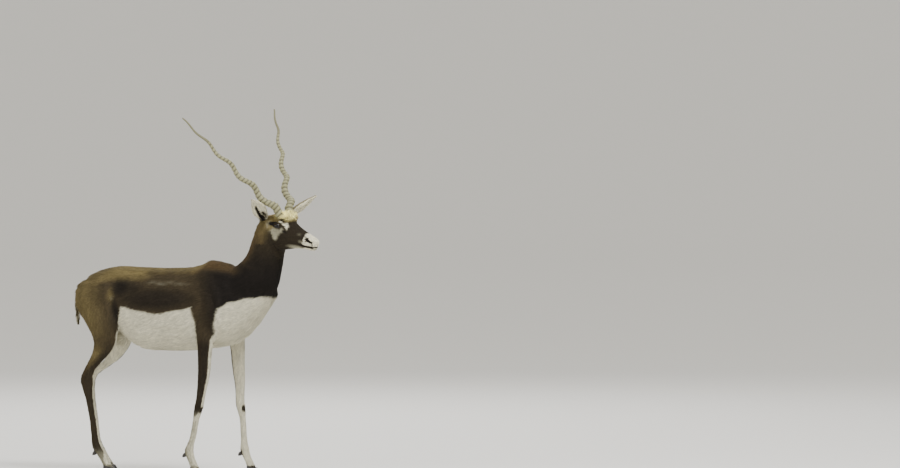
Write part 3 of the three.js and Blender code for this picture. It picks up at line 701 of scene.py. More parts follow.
@dataclass
class Markings:
    """The pattern of the coat as fields over the body."""

    place: Placement
    chin_of_neck: float = 840.0
    belly_top: float = 690.0
    border: float = 24.0

    def at(self, points: np.ndarray, normals: np.ndarray, labels: np.ndarray) -> Fields:
        """Every mark's field at points on the skin.

        Args:
            points: Points in the design frame.
            normals: The skin's outward direction at each.
            labels: The part that each belongs to.

        Returns:
            For each mark a share from 0 to 1, one half at its border.
        """
        fields = self.body_fields(points, normals)
        for part in LEG_PARTS:
            self.mark_leg(points, normals, labels == part, part, fields)
        head = self.head_fields(points)
        upper = (labels == Part.HEAD) | ((labels == Part.NECK) & (points[:, 2] > self.chin_of_neck))
        share = smoothstep(-45, 0, self.place.to_head(points)[:, 0]) * upper
        for mark in Mark:
            fields[mark] = fields[mark] * (1 - share) + head[mark] * share
        self.mark_ears(points, normals, labels, fields)
        self.mark_tail(points, normals, labels, fields)
        return {mark: np.clip(value, 0, 1) for mark, value in fields.items()}

    def body_fields(self, points: np.ndarray, normals: np.ndarray) -> Fields:
        """Back, flanks, belly, shoulders and neck."""
        x, y, z = points.T
        outer = normals[:, 1] * np.sign(y)
        wave = 2.5 * np.sin(x / 31.0 + 0.7) + 1.5 * np.sin(x / 11.0 + z / 17.0)
        below_back = np.interp(x, *BACK_LINE.T) - z
        leaning = x + 0.12 * (z - 600)
        behind = np.interp(leaning, [-430, -375, -335, -305, -283], [0.6, 0.52, 0.36, 0.18, 0])
        behind = behind * smoothstep(440, 520, z)
        depth = np.interp(x, [-330, -250, -190, -150, 20], [48, 42, 36, 15, 18])
        tan = (0.5 + (depth + wave - below_back) / 44) * smoothstep(96, 30, x)
        tan = np.minimum(tan, np.interp(x, [-420, -345, -290, -235], [0.42, 0.48, 0.74, 1.3]))
        throat = np.interp(z, [740, 765, 832, 882, 930], [300, 190, 222, 245, 275])
        across = (x - throat) / 120
        nape = 0.62 * smoothstep(0.6, 0.05, across) * smoothstep(800, 915, z)
        rust = smoothstep(48, 10, below_back) * smoothstep(-30, 50, x) * smoothstep(240, 120, x)
        rust = np.maximum(rust, 0.84 * smoothstep(0.45, 0.0, across) * smoothstep(740, 790, z))
        black = smoothstep(-30, 165, x + 0.25 * (z - 650)) * (1 - 0.75 * rust)
        black = black * np.interp(z, [700, 760, 830], [1.0, 0.86, 0.56])
        belly = np.interp(x, *BELLY_LINE.T) + 0.6 * wave - z
        right = y < 0
        leg_x = np.where(right, leg_centre(Part.FORE_RIGHT, z)[0], leg_centre(Part.FORE_LEFT, z)[0])
        rear_edge = leg_x + np.interp(z, *SHOULDER_MARK[:, [0, 1]].T)
        front_edge = leg_x + np.interp(z, *SHOULDER_MARK[:, [0, 2]].T)
        shoulder = np.minimum(x - rear_edge, front_edge - x) + 60 * np.minimum(outer - 0.1, 0)
        shoulder = shoulder + 2 * np.minimum(np.abs(y) - np.interp(z, [500, 560], [68, 48]), 0)
        shoulder = shoulder + 2 * np.minimum(z - 448, 0)
        thigh = np.interp(z, *THIGH_FRONT.T) - x + 60 * np.minimum(outer - 0.3, 0)
        thigh = thigh + 2 * np.minimum(np.abs(y) - 60, 0)
        thigh = np.where(z > 400, thigh, -50.0)
        white = 0.5 + np.minimum(belly, -np.maximum(shoulder, thigh)) / self.border
        fields = {mark: np.zeros(len(points)) for mark in Mark}
        fields[Mark.TAN] = np.maximum(np.maximum(tan, behind), nape)
        fields[Mark.RUST] = rust
        fields[Mark.BLACK] = black
        fields[Mark.WHITE] = np.where(z < self.belly_top, white, 0)
        self.add_spots(BODY_SPOTS, points, fields)
        return fields

    def add_spots(self, spots: Iterable[Spot], points: np.ndarray, fields: Fields) -> None:
        """Lays spots over the fields on both sides."""
        mirrored = folded(points)
        for spot in spots:
            fields[spot.mark] = np.maximum(fields[spot.mark], spot.field(mirrored))

    def mark_leg(
        self, points: np.ndarray, normals: np.ndarray, here: np.ndarray, part: Part, fields: Fields
    ) -> None:
        """White inside, a dark strip outside, pale feet and dark knees."""
        z = points[:, 2]
        outer = normals[:, 1] * side_of(part)
        front = normals[:, 0]
        if part in FORELEGS:
            strip = outer * 0.8 - 0.9 * front + np.interp(z, [KNEE, 420, 520], [0.05, 0.18, 0.22])
            dark = 0.5 + (strip - 1.6 * smoothstep(KNEE - 4, KNEE - 44, z)) * 1.6
            knee = bell((z - KNEE + 8) / 14) * smoothstep(0.25, 1.0, front + 0.2 * np.abs(outer))
            dark = np.maximum(dark, knee)
            upper = smoothstep(470, 520, z)
            grey = smoothstep(KNEE + 10, 190, z) * smoothstep(-0.5, 0.6, outer - 0.6 * front)
            tan = 0.0 * z
        else:
            strip = outer * 0.95 - 0.25 * front + 0.18
            dark = 0.5 + (strip - 1.2 * smoothstep(FETLOCK, 55, z)) * 1.5
            upper = smoothstep(430, 500, z)
            grey = 0.6 * smoothstep(FETLOCK + 30, 60, z)
            rear = smoothstep(0.6, -0.35, front)
            tan = 0.8 * smoothstep(HOCK - 10, 470, z) * rear * np.clip(0.5 + outer, 0, 1)
        coronet = smoothstep(CORONET + 16, CORONET + 4, z)
        fetlock = bell((z - FETLOCK + 10) / 16) * smoothstep(0.1, -0.6, front)
        dark = np.maximum(np.clip(dark, 0, 1), 0.85 * np.maximum(coronet, fetlock))
        values = {
            Mark.BLACK: (0.64 if part in FORELEGS else 0.52) * dark,
            Mark.WHITE: (1.0 - dark) * (1.0 - 0.5 * grey),
            Mark.GREY: grey,
            Mark.TAN: tan,
            Mark.RUST: 0.5 * smoothstep(0.3, -0.5, front),
            Mark.DARK: 0.0 * z,
        }
        for mark, value in values.items():
            mixed = fields[mark] * upper + value * (1 - upper)
            fields[mark] = np.where(here, mixed, fields[mark])

    def head_fields(self, points: np.ndarray) -> Fields:
        """A black face under a pale crown, white before the eyes and on the muzzle."""
        local = self.place.to_head(points)
        x, _, z = local.T
        fields = {mark: np.zeros(len(points)) for mark in Mark}
        fields[Mark.BLACK] = 0.65 * smoothstep(-60, 10, x - 0.5 * z) * (1 - 0.4 * smoothstep(30, -20, x))
        fields[Mark.RUST] = 0.7 * smoothstep(30, -10, x)
        fields[Mark.TAN] = 0.5 + (z - np.interp(x, [-20, 20, 60, 90, 110], [14, 34, 44, 46, 60])) / 20
        self.add_spots(HEAD_SPOTS, local, fields)
        dark = fields[Mark.DARK]
        for side in (1, -1):
            dark = np.maximum(dark, 0.5 + (1.2 - lid_opening(local, side)) * 3)
            for shape, steepness in ((NOSTRIL, 1.2), (GLAND, 1.0)):
                dark = np.maximum(dark, 0.5 + (1 - slit(local, side, shape)) * steepness)
        # The dark line along the mouth is partly the mouth's own line and partly painted shadow under the
        # upper lip, so it lies a little below the lip's level
        lips = 1.0 - np.abs(z - lip_level(x) + 1.0) / 2.4
        fields[Mark.DARK] = np.maximum(dark, smoothstep(138, 152, x) * (0.42 + lips * 0.42))
        return fields

    def mark_ears(
        self, points: np.ndarray, normals: np.ndarray, labels: np.ndarray, fields: Fields
    ) -> None:
        """Tan-grey backs, and white insides with a dark channel and a dark hollow near the root."""
        for part in EARS:
            side = side_of(part)
            along, _, across = self.place.to_ear(points, side).T
            inside = smoothstep(-0.2, 0.2, self.place.out_of_ear(normals, side))
            line = np.interp(along / EAR_LENGTH, [0.1, 0.26, 0.46, 0.8], [-2, -8, -7, -2])
            channel = 0.9 * bell((across - line) / 8) * smoothstep(116, 76, along)
            hollow = 0.7 * np.exp(-(((along - 34) / 20) ** 2) - ((across - 5) / 9) ** 2)
            shade = np.maximum(channel, hollow)
            values = {
                Mark.WHITE: inside * (1 - shade),
                Mark.DARK: inside * shade,
                Mark.TAN: 0.9,
                Mark.GREY: 0.45,
                Mark.BLACK: 0.0,
            }
            for mark, value in values.items():
                fields[mark] = np.where(labels == part, value, fields[mark])

    def mark_tail(
        self, points: np.ndarray, normals: np.ndarray, labels: np.ndarray, fields: Fields
    ) -> None:
        """A dark tail, tan at its root and white inside, over the white between the buttocks."""
        here = labels == Part.TAIL
        z = points[:, 2]
        fields[Mark.TAN] = np.where(here, 0.35 + 0.25 * smoothstep(560, 660, z), fields[Mark.TAN])
        fields[Mark.WHITE] = np.where(here, 0.9 * smoothstep(0.4, 0.9, normals[:, 0]), fields[Mark.WHITE])
        rump = np.isin(labels, (Part.TORSO, *HINDLEGS)) & (points[:, 0] < -380)
        between = smoothstep(44, 24, np.abs(points[:, 1]))
        between = between * smoothstep(676, 650, z) * smoothstep(430, 480, z)
        fields[Mark.WHITE] = np.where(rump, np.maximum(fields[Mark.WHITE], between), fields[Mark.WHITE])


@dataclass(frozen=True)
class Slit:
    """A slanting slit on each side of the head: where, how large, how far inwards and how steep."""

    centre: Triple
    half_length: float
    half_height: float
    reach: float
    slope: float


NOSTRIL = Slit((181, 20, -6.0), 17.0, 5.2, 12.0, 0.24)
GLAND = Slit((84, 38, 8), 9.0, 3.0, 12.0, 0.5)


def slit(local: np.ndarray, side: int, shape: Slit) -> np.ndarray:
    """How far points of the head's frame lie from a slit's middle, one at its rim."""
    gap = local - np.array(shape.centre) * [1, side, 1]
    slant = gap[:, 0] * shape.slope + gap[:, 2]
    along, inwards = gap[:, 0] / shape.half_length, gap[:, 1] / shape.reach
    return np.sqrt(along**2 + (slant / shape.half_height) ** 2 + inwards**2)


def lip_level(x: np.ndarray) -> np.ndarray:
    """Height of the line of the mouth along the head."""
    return MOUTH_LEVEL - 0.07 * (184 - x)


# The opening between the lids, and how far from the eye's middle it is looked for
LID_HALF_LENGTH = 14.5
LID_RISE = 9.5
LID_DROP = 7.5
LID_SHIFT = (-3.5, 1.2)
LID_REACH = 34.0


def lid_opening(local: np.ndarray, side: int) -> np.ndarray:
    """How far points of the head's frame lie from the middle between the lids, one at their rims."""
    forward, up, sight = eye_axes(side)
    gap = local - EYE_PLACE * [1, side, 1]
    along, across = gap @ forward - LID_SHIFT[0], gap @ up - LID_SHIFT[1]
    half = np.where(across > 0, LID_RISE, LID_DROP)
    opening = np.sqrt((along / LID_HALF_LENGTH) ** 2 + (across / half) ** 2)
    seen = (gap @ sight > 0) & (np.linalg.norm(gap, axis=1) < LID_REACH)
    return np.where(seen, opening, 9.0)


# Each ear's root in the head's frame and the way it runs, both given as if on the left
EAR_SET = {
    -1: ((-4.0, 37.0, 31.0), (0.08, 0.79, 0.61)),
    1: ((16.0, 35.0, 33.0), (0.45, 0.6, 0.66)),
}
EAR_LENGTH = 142.0


def ear_frame(side: int) -> np.ndarray:
    """An ear's own frame in the head's: X along it, Y out of its opening, Z across."""
    root, along = EAR_SET[side]
    along = unit(np.array(along) * [1, side, 1])
    opening = np.array([0.84, side * 0.22, -0.38])
    across = unit(np.cross(along, opening))
    opening = unit(np.cross(across, along))
    frame = np.eye(4)
    frame[:3, 0], frame[:3, 1], frame[:3, 2] = along, opening, across
    frame[:3, 3] = np.array(root) * [1, side, 1]
    return frame


@dataclass
class Unwrap:
    """Lays every part out flat: round its axis and along it, an ear as two leaves."""

    place: Placement
    turn_share: float = 0.94

    def angle_and_run(self, points: np.ndarray, part: Part) -> tuple[np.ndarray, np.ndarray]:
        """Angle round the part's axis in turns, and share of the way along it."""
        x, y, z = points.T
        if part is Part.TORSO:
            return np.arctan2(y, z - 600) / math.tau, (x + 480) / 860
        if part is Part.NECK:
            axis = unit(np.array([0.5, -0.08, 0.86]))
            gap = points - np.array([225.0, -5.0, 735.0])
            across = unit(np.cross(axis, [0, 1, 0]))
            return np.arctan2(gap[:, 1], gap @ across) / math.tau, (gap @ axis + 190) / 480
        if part is Part.HEAD:
            local = self.place.to_head(points)
            return np.arctan2(local[:, 1], local[:, 2] + 8) / math.tau, (local[:, 0] + 50) / 280
        if part is Part.TAIL:
            return np.arctan2(y, -(x + 452)) / math.tau, (z - 520) / 200
        centre_x, centre_y = leg_centre(part, z)
        return np.arctan2((y - centre_y) * side_of(part), x - centre_x) / math.tau, z / 780

    def lay(self, points: np.ndarray, normals: np.ndarray, part: Part, around: np.ndarray) -> np.ndarray:
        """Flat places in the unit square.

        Args:
            points: Points to lay out, in the design frame.
            normals: Outward directions, which tell an ear's two leaves apart.
            part: The part they are on.
            around: Points whose angle each one stays next to, such as its face's centre.

        Returns:
            Rows of u and v.
        """
        if part in EARS:
            side = side_of(part)
            local = self.place.to_ear(points, side)
            inner = self.place.out_of_ear(normals, side) > 0
            u = 0.25 + local[:, 2] / 140 + 0.5 * inner
            return np.stack([u, (local[:, 0] + 10) / 165], axis=1).clip(0.001, 0.999)
        turn, run = self.angle_and_run(points, part)
        near, _ = self.angle_and_run(around, part)
        turn = near + (turn - near + 0.5) % 1.0 - 0.5
        return np.stack([0.5 + turn * self.turn_share, run], axis=1).clip(0.001, 0.999)


@dataclass(frozen=True)
class CoatFinish:
    """Colours of the coat, linear, and how rough it is."""

    flank: Triple = (0.052, 0.039, 0.021)
    rust: Triple = (0.108, 0.071, 0.032)
    black: Triple = (0.0095, 0.0075, 0.006)
    tan: Triple = (0.178, 0.138, 0.056)
    cream: Triple = (0.76, 0.7, 0.31)
    grey: Triple = (0.275, 0.26, 0.185)
    white: Triple = (0.58, 0.55, 0.42)
    dark: Triple = (0.009, 0.007, 0.006)
    roughness: float = 0.8
    shine: float = 0.15
    border_scale: float = 160.0
    streak_scale: float = 170.0
    streak_depth: float = 0.0015
    patch_scale: float = 11.0


@dataclass(frozen=True)
class HornFinish:
    """Colours of the horns' grooves and crests, linear, and how rough they are."""

    groove: Triple = (0.075, 0.066, 0.036)
    crest: Triple = (0.28, 0.27, 0.145)
    groove_end: float = 0.2
    crest_start: float = 0.98
    roughness: float = 0.55
    grain_scale: float = 220.0
    bump_depth: float = 0.0006


@dataclass(frozen=True)
class HoofFinish:
    """Colour of the hooves, linear, and how rough they are."""

    black: Triple = (0.022, 0.019, 0.017)
    roughness: float = 0.45
    wear_scale: float = 200.0
    bump_depth: float = 0.0005


@dataclass(frozen=True)
class EyeFinish:
    """Colours of the eyes, linear, and the stretch that turns pupil and iris into unit circles."""

    pupil: Triple = (0.002, 0.002, 0.003)
    iris: Triple = (0.012, 0.0075, 0.0045)
    rim: Triple = (0.006, 0.005, 0.004)
    pupil_stretch: Triple = (2.3, 4.2, 0.0)
    iris_stretch: Triple = (1.36, 1.36, 0.0)
    roughness: float = 0.07
    shine: float = 0.3


# How softly each mark fades at its border, how far noise shakes the border and where it then lies
BLEND_WIDTH: dict[Mark, float] = {
    Mark.RUST: 0.5,
    Mark.BLACK: 0.5,
    Mark.TAN: 0.42,
    Mark.CREAM: 0.35,
    Mark.GREY: 0.4,
    Mark.WHITE: 0.16,
    Mark.DARK: 0.24,
}
BORDER_SHAKE = 0.22
BORDER_LEVEL = 0.61
BUMP_STRENGTH = 0.4
# The part of the noise's heights that is used, and how fine it is
NOISE_RANGE = (0.3, 0.7)
NOISE_DETAIL = 3.0


def principled(name: str) -> tuple[bpy.types.Material, bpy.types.Node]:
    """A new material with its main shader."""
    material = bpy.data.materials.new(name)
    material.use_nodes = True
    shader = next(n for n in material.node_tree.nodes if n.type == "BSDF_PRINCIPLED")
    return material, shader


@dataclass
class Materials:
    """Makes the materials, which read only attributes and object coordinates."""

    coat_finish: CoatFinish
    horn_finish: HornFinish
    hoof_finish: HoofFinish
    eye_finish: EyeFinish

    def __post_init__(self) -> None:
        """Makes the node groups that the materials share."""
        self.mottle = self.make_mottle()
        self.pattern = self.make_pattern()

    def make_pattern(self) -> bpy.types.NodeTree:
        """Node group that mixes the coat's colours by the marks, their borders broken by noise."""
        tree = bpy.data.node_groups.new("coat_pattern", "ShaderNodeTree")
        tree.interface.new_socket("Colour", in_out="OUTPUT", socket_type="NodeSocketColor")
        out = tree.nodes.new("NodeGroupOutput")
        noise = self.mottled(tree, self.coat_finish.border_scale).outputs["Height"]
        colour: bpy.types.NodeSocket | Triple = self.coat_finish.flank
        for mark in Mark:
            field_value = self.attribute(tree, mark.value).outputs["Fac"]
            shaken = self.computed(tree, "MULTIPLY_ADD", noise, BORDER_SHAKE, field_value)
            width = BLEND_WIDTH[mark]
            share = self.share(tree, shaken, BORDER_LEVEL - width, BORDER_LEVEL + width, "SMOOTHSTEP")
            colour = self.mixed(tree, share, colour, getattr(self.coat_finish, mark.name.lower()))
        tree.links.new(colour, out.inputs["Colour"])
        return tree

    def make_mottle(self) -> bpy.types.NodeTree:
        """Node group of noise: its height, and a value that it moves between two ends."""
        tree = bpy.data.node_groups.new("mottle", "ShaderNodeTree")
        tree.interface.new_socket("Vector", in_out="INPUT", socket_type="NodeSocketVector")
        for name in ("Scale", "Detail", "Low", "High"):
            tree.interface.new_socket(name, in_out="INPUT", socket_type="NodeSocketFloat")
        for name in ("Height", "Value"):
            tree.interface.new_socket(name, in_out="OUTPUT", socket_type="NodeSocketFloat")
        given, out = tree.nodes.new("NodeGroupInput"), tree.nodes.new("NodeGroupOutput")
        texture, ranged = tree.nodes.new("ShaderNodeTexNoise"), tree.nodes.new("ShaderNodeMapRange")
        ranged.inputs["From Min"].default_value, ranged.inputs["From Max"].default_value = NOISE_RANGE
        for name in ("Vector", "Scale", "Detail"):
            tree.links.new(given.outputs[name], texture.inputs[name])
        tree.links.new(texture.outputs[0], ranged.inputs["Value"])
        tree.links.new(given.outputs["Low"], ranged.inputs["To Min"])
        tree.links.new(given.outputs["High"], ranged.inputs["To Max"])
        tree.links.new(texture.outputs[0], out.inputs["Height"])
        tree.links.new(ranged.outputs[0], out.inputs["Value"])
        return tree

    def mottled(
        self,
        tree: bpy.types.NodeTree,
        scale: float,
        low: float = 0.0,
        high: float = 1.0,
        source: bpy.types.NodeSocket | None = None,
    ) -> bpy.types.Node:
        """Noise at a scale per metre, read at the object's coordinates unless others are given."""
        group = tree.nodes.new("ShaderNodeGroup")
        group.node_tree = self.mottle
        for name, value in (("Scale", scale), ("Detail", NOISE_DETAIL), ("Low", low), ("High", high)):
            group.inputs[name].default_value = value
        source = source or tree.nodes.new("ShaderNodeTexCoord").outputs["Object"]
        tree.links.new(source, group.inputs["Vector"])
        return group

    def computed(
        self, tree: bpy.types.NodeTree, operation: str, *given: bpy.types.NodeSocket | float
    ) -> bpy.types.NodeSocket:
        """The result of a math node on values, each a socket or a plain number."""
        node = tree.nodes.new("ShaderNodeMath")
        node.operation = operation
        for socket, value in zip(node.inputs, given):
            if isinstance(value, float):
                socket.default_value = value
            else:
                tree.links.new(value, socket)
        return node.outputs[0]

    def share(
        self,
        tree: bpy.types.NodeTree,
        value: bpy.types.NodeSocket,
        low: float,
        high: float,
        kind: str = "LINEAR",
    ) -> bpy.types.NodeSocket:
        """A value turned into a share, 0 at low and 1 at high."""
        node = tree.nodes.new("ShaderNodeMapRange")
        node.interpolation_type = kind
        node.inputs["From Min"].default_value = low
        node.inputs["From Max"].default_value = high
        tree.links.new(value, node.inputs["Value"])
        return node.outputs[0]

    def attribute(self, tree: bpy.types.NodeTree, name: str) -> bpy.types.Node:
        """A node that reads a stored attribute."""
        node = tree.nodes.new("ShaderNodeAttribute")
        node.attribute_name = name
        return node

    def bumped(
        self,
        material: bpy.types.Material,
        shader: bpy.types.Node,
        height: bpy.types.NodeSocket,
        depth: float,
    ) -> None:
        """Roughens a material's surface by a height, depth in metres."""
        bump = material.node_tree.nodes.new("ShaderNodeBump")
        bump.inputs["Strength"].default_value = BUMP_STRENGTH
        bump.inputs["Distance"].default_value = depth
        material.node_tree.links.new(height, bump.inputs["Height"])
        material.node_tree.links.new(bump.outputs[0], shader.inputs["Normal"])

    def coat(self) -> bpy.types.Material:
        """Fur: the pattern, streaked along the lie of the hair and varied from tuft to tuft."""
        material, shader = principled("coat")
        tree = material.node_tree
        group = tree.nodes.new("ShaderNodeGroup")
        group.node_tree = self.pattern
        grain = self.attribute(tree, "grain").outputs["Vector"]
        streaks = self.mottled(tree, self.coat_finish.streak_scale, 0.84, 1.16, grain)
        patches = self.mottled(tree, self.coat_finish.patch_scale, 0.92, 1.08)
        value = self.computed(tree, "MULTIPLY", streaks.outputs["Value"], patches.outputs["Value"])
        value = self.computed(tree, "MULTIPLY", value, self.attribute(tree, "tone").outputs["Fac"])
        shade = tree.nodes.new("ShaderNodeHueSaturation")
        tree.links.new(value, shade.inputs["Value"])
        tree.links.new(group.outputs[0], shade.inputs["Color"])
        tree.links.new(shade.outputs[0], shader.inputs["Base Color"])
        self.bumped(material, shader, streaks.outputs["Height"], self.coat_finish.streak_depth)
        shader.inputs["Roughness"].default_value = self.coat_finish.roughness
        shader.inputs["Specular IOR Level"].default_value = self.coat_finish.shine
        return material

    def eye(self) -> bpy.types.Material:
        """A dark brown iris round a pupil that lies level, its rim nearly black."""
        material, shader = principled("eye")
        tree = material.node_tree
        gaze = self.attribute(tree, "gaze").outputs["Vector"]
        finish = self.eye_finish
        colour: bpy.types.NodeSocket | Triple = finish.pupil
        for stretch, outer in ((finish.pupil_stretch, finish.iris), (finish.iris_stretch, finish.rim)):
            flat = tree.nodes.new("ShaderNodeVectorMath")
            flat.operation = "MULTIPLY"
            flat.inputs[1].default_value = stretch
            tree.links.new(gaze, flat.inputs[0])
            length = tree.nodes.new("ShaderNodeVectorMath")
            length.operation = "LENGTH"
            tree.links.new(flat.outputs[0], length.inputs[0])
            share = self.share(tree, length.outputs["Value"], 0.85, 1.1)
            colour = self.mixed(tree, share, colour, outer)
        tree.links.new(colour, shader.inputs["Base Color"])
        shader.inputs["Roughness"].default_value = finish.roughness
        shader.inputs["Specular IOR Level"].default_value = finish.shine
        return material

    def mixed(
        self,
        tree: bpy.types.NodeTree,
        share: bpy.types.NodeSocket,
        first: bpy.types.NodeSocket | Triple,
        second: Triple,
    ) -> bpy.types.NodeSocket:
        """A colour that runs from the first to the second as the share grows from 0 to 1."""
        mix = tree.nodes.new("ShaderNodeMix")
        mix.data_type = "RGBA"
        ends = {socket.name: socket for socket in mix.inputs if socket.type == "RGBA"}
        factors = (socket for socket in mix.inputs if socket.name == "Factor" and socket.type == "VALUE")
        tree.links.new(share, next(factors))
        if isinstance(first, tuple):
            ends["A"].default_value = (*first, 1)
        else:
            tree.links.new(first, ends["A"])
        ends["B"].default_value = (*second, 1)
        return next(socket for socket in mix.outputs if socket.type == "RGBA")

    def horn(self) -> bpy.types.Material:
        """Olive-beige horn, darker in the grooves between its rings and streaked along its length."""
        material, shader = principled("horn")
        tree, finish = material.node_tree, self.horn_finish
        noise = self.mottled(tree, finish.grain_scale).outputs["Height"]
        crest = self.attribute(tree, "crest").outputs["Fac"]
        ramp = tree.nodes.new("ShaderNodeValToRGB")
        low, high = ramp.color_ramp.elements
        low.position = finish.groove_end
        low.color = (*finish.groove, 1)
        high.position = finish.crest_start
        high.color = (*finish.crest, 1)
        tree.links.new(self.computed(tree, "MULTIPLY_ADD", noise, 0.5, crest), ramp.inputs[0])
        tree.links.new(ramp.outputs[0], shader.inputs["Base Color"])
        self.bumped(material, shader, noise, finish.bump_depth)
        shader.inputs["Roughness"].default_value = finish.roughness
        return material

    def hoof(self) -> bpy.types.Material:
        """Black horn with a little wear."""
        material, shader = principled("hoof")
        tree = material.node_tree
        wear = self.mottled(tree, self.hoof_finish.wear_scale, 0.75, 1.3)
        shade = tree.nodes.new("ShaderNodeHueSaturation")
        shade.inputs["Color"].default_value = (*self.hoof_finish.black, 1)
        tree.links.new(wear.outputs["Value"], shade.inputs["Value"])
        tree.links.new(shade.outputs[0], shader.inputs["Base Color"])
        self.bumped(material, shader, wear.outputs["Height"], self.hoof_finish.bump_depth)
        shader.inputs["Roughness"].default_value = self.hoof_finish.roughness
        return material


@dataclass(frozen=True)
class CoatPlan:
    """How a part's hair grows: how many strands, their size in millimetres, lift, and a gain on its
    coat's colour that is painted light where it is above one.
    """

    strands: int
    length: float
    width: float
    lift: float
    brightness: float = 1.0


# The gain of 1.36 on the head and the ears is painted light: it brightens their coat above the body's, as
# if they were more brightly lit
COAT_PLANS: dict[Part, CoatPlan] = {
    Part.TORSO: CoatPlan(150000, 17, 1.6, 0.13),
    Part.NECK: CoatPlan(45000, 17, 1.6, 0.16),
    Part.HEAD: CoatPlan(60000, 6.5, 0.85, 0.17, 1.36),
    Part.TAIL: CoatPlan(12000, 24, 2.0, 0.05),
    Part.EAR_RIGHT: CoatPlan(10000, 7, 0.8, 0.18, 1.36),
    Part.EAR_LEFT: CoatPlan(10000, 7, 0.8, 0.18, 1.36),
    Part.FORE_RIGHT: CoatPlan(20000, 11, 1.2, 0.14),
    Part.FORE_LEFT: CoatPlan(20000, 11, 1.2, 0.14),
    Part.HIND_RIGHT: CoatPlan(32000, 12, 1.3, 0.14),
    Part.HIND_LEFT: CoatPlan(32000, 12, 1.3, 0.14),
}
MOST_STRANDS = 62000
# Scatter the cells of a grid over a table of random numbers
TUFT_PRIMES = np.array([73856093, 19349663, 83492791])
TUFT_NUMBERS = 1009


def flow_of(part: Part, place: Placement) -> np.ndarray:
    """The way a part's hair runs in the main, in the design frame."""
    if part in EARS:
        return place.head_turn @ ear_frame(side_of(part))[:3, 0]
    if part is Part.HEAD:
        return place.head_turn @ unit(np.array([-1.0, 0.0, -0.25]))
    flows = {Part.TORSO: (-1.0, 0.0, -0.42), Part.NECK: (-0.62, 0.04, -0.78), Part.TAIL: (0.0, 0.0, -1.0)}
    return unit(np.array(flows.get(part, (-0.25, 0.0, -1.0))))


# How short the noise's coordinates run along the hair, against across it
GRAIN_SQUEEZE = 0.22


def grain_at(points: np.ndarray, labels: np.ndarray, place: Placement) -> np.ndarray:
    """Coordinates in metres, squeezed along the hair, at which noise comes out as streaks."""
    flow = np.stack([flow_of(part, place) for part in Part])[labels]
    along = (points * flow).sum(1, keepdims=True)
    return (points + (GRAIN_SQUEEZE - 1.0) * along * flow) / 1000.0


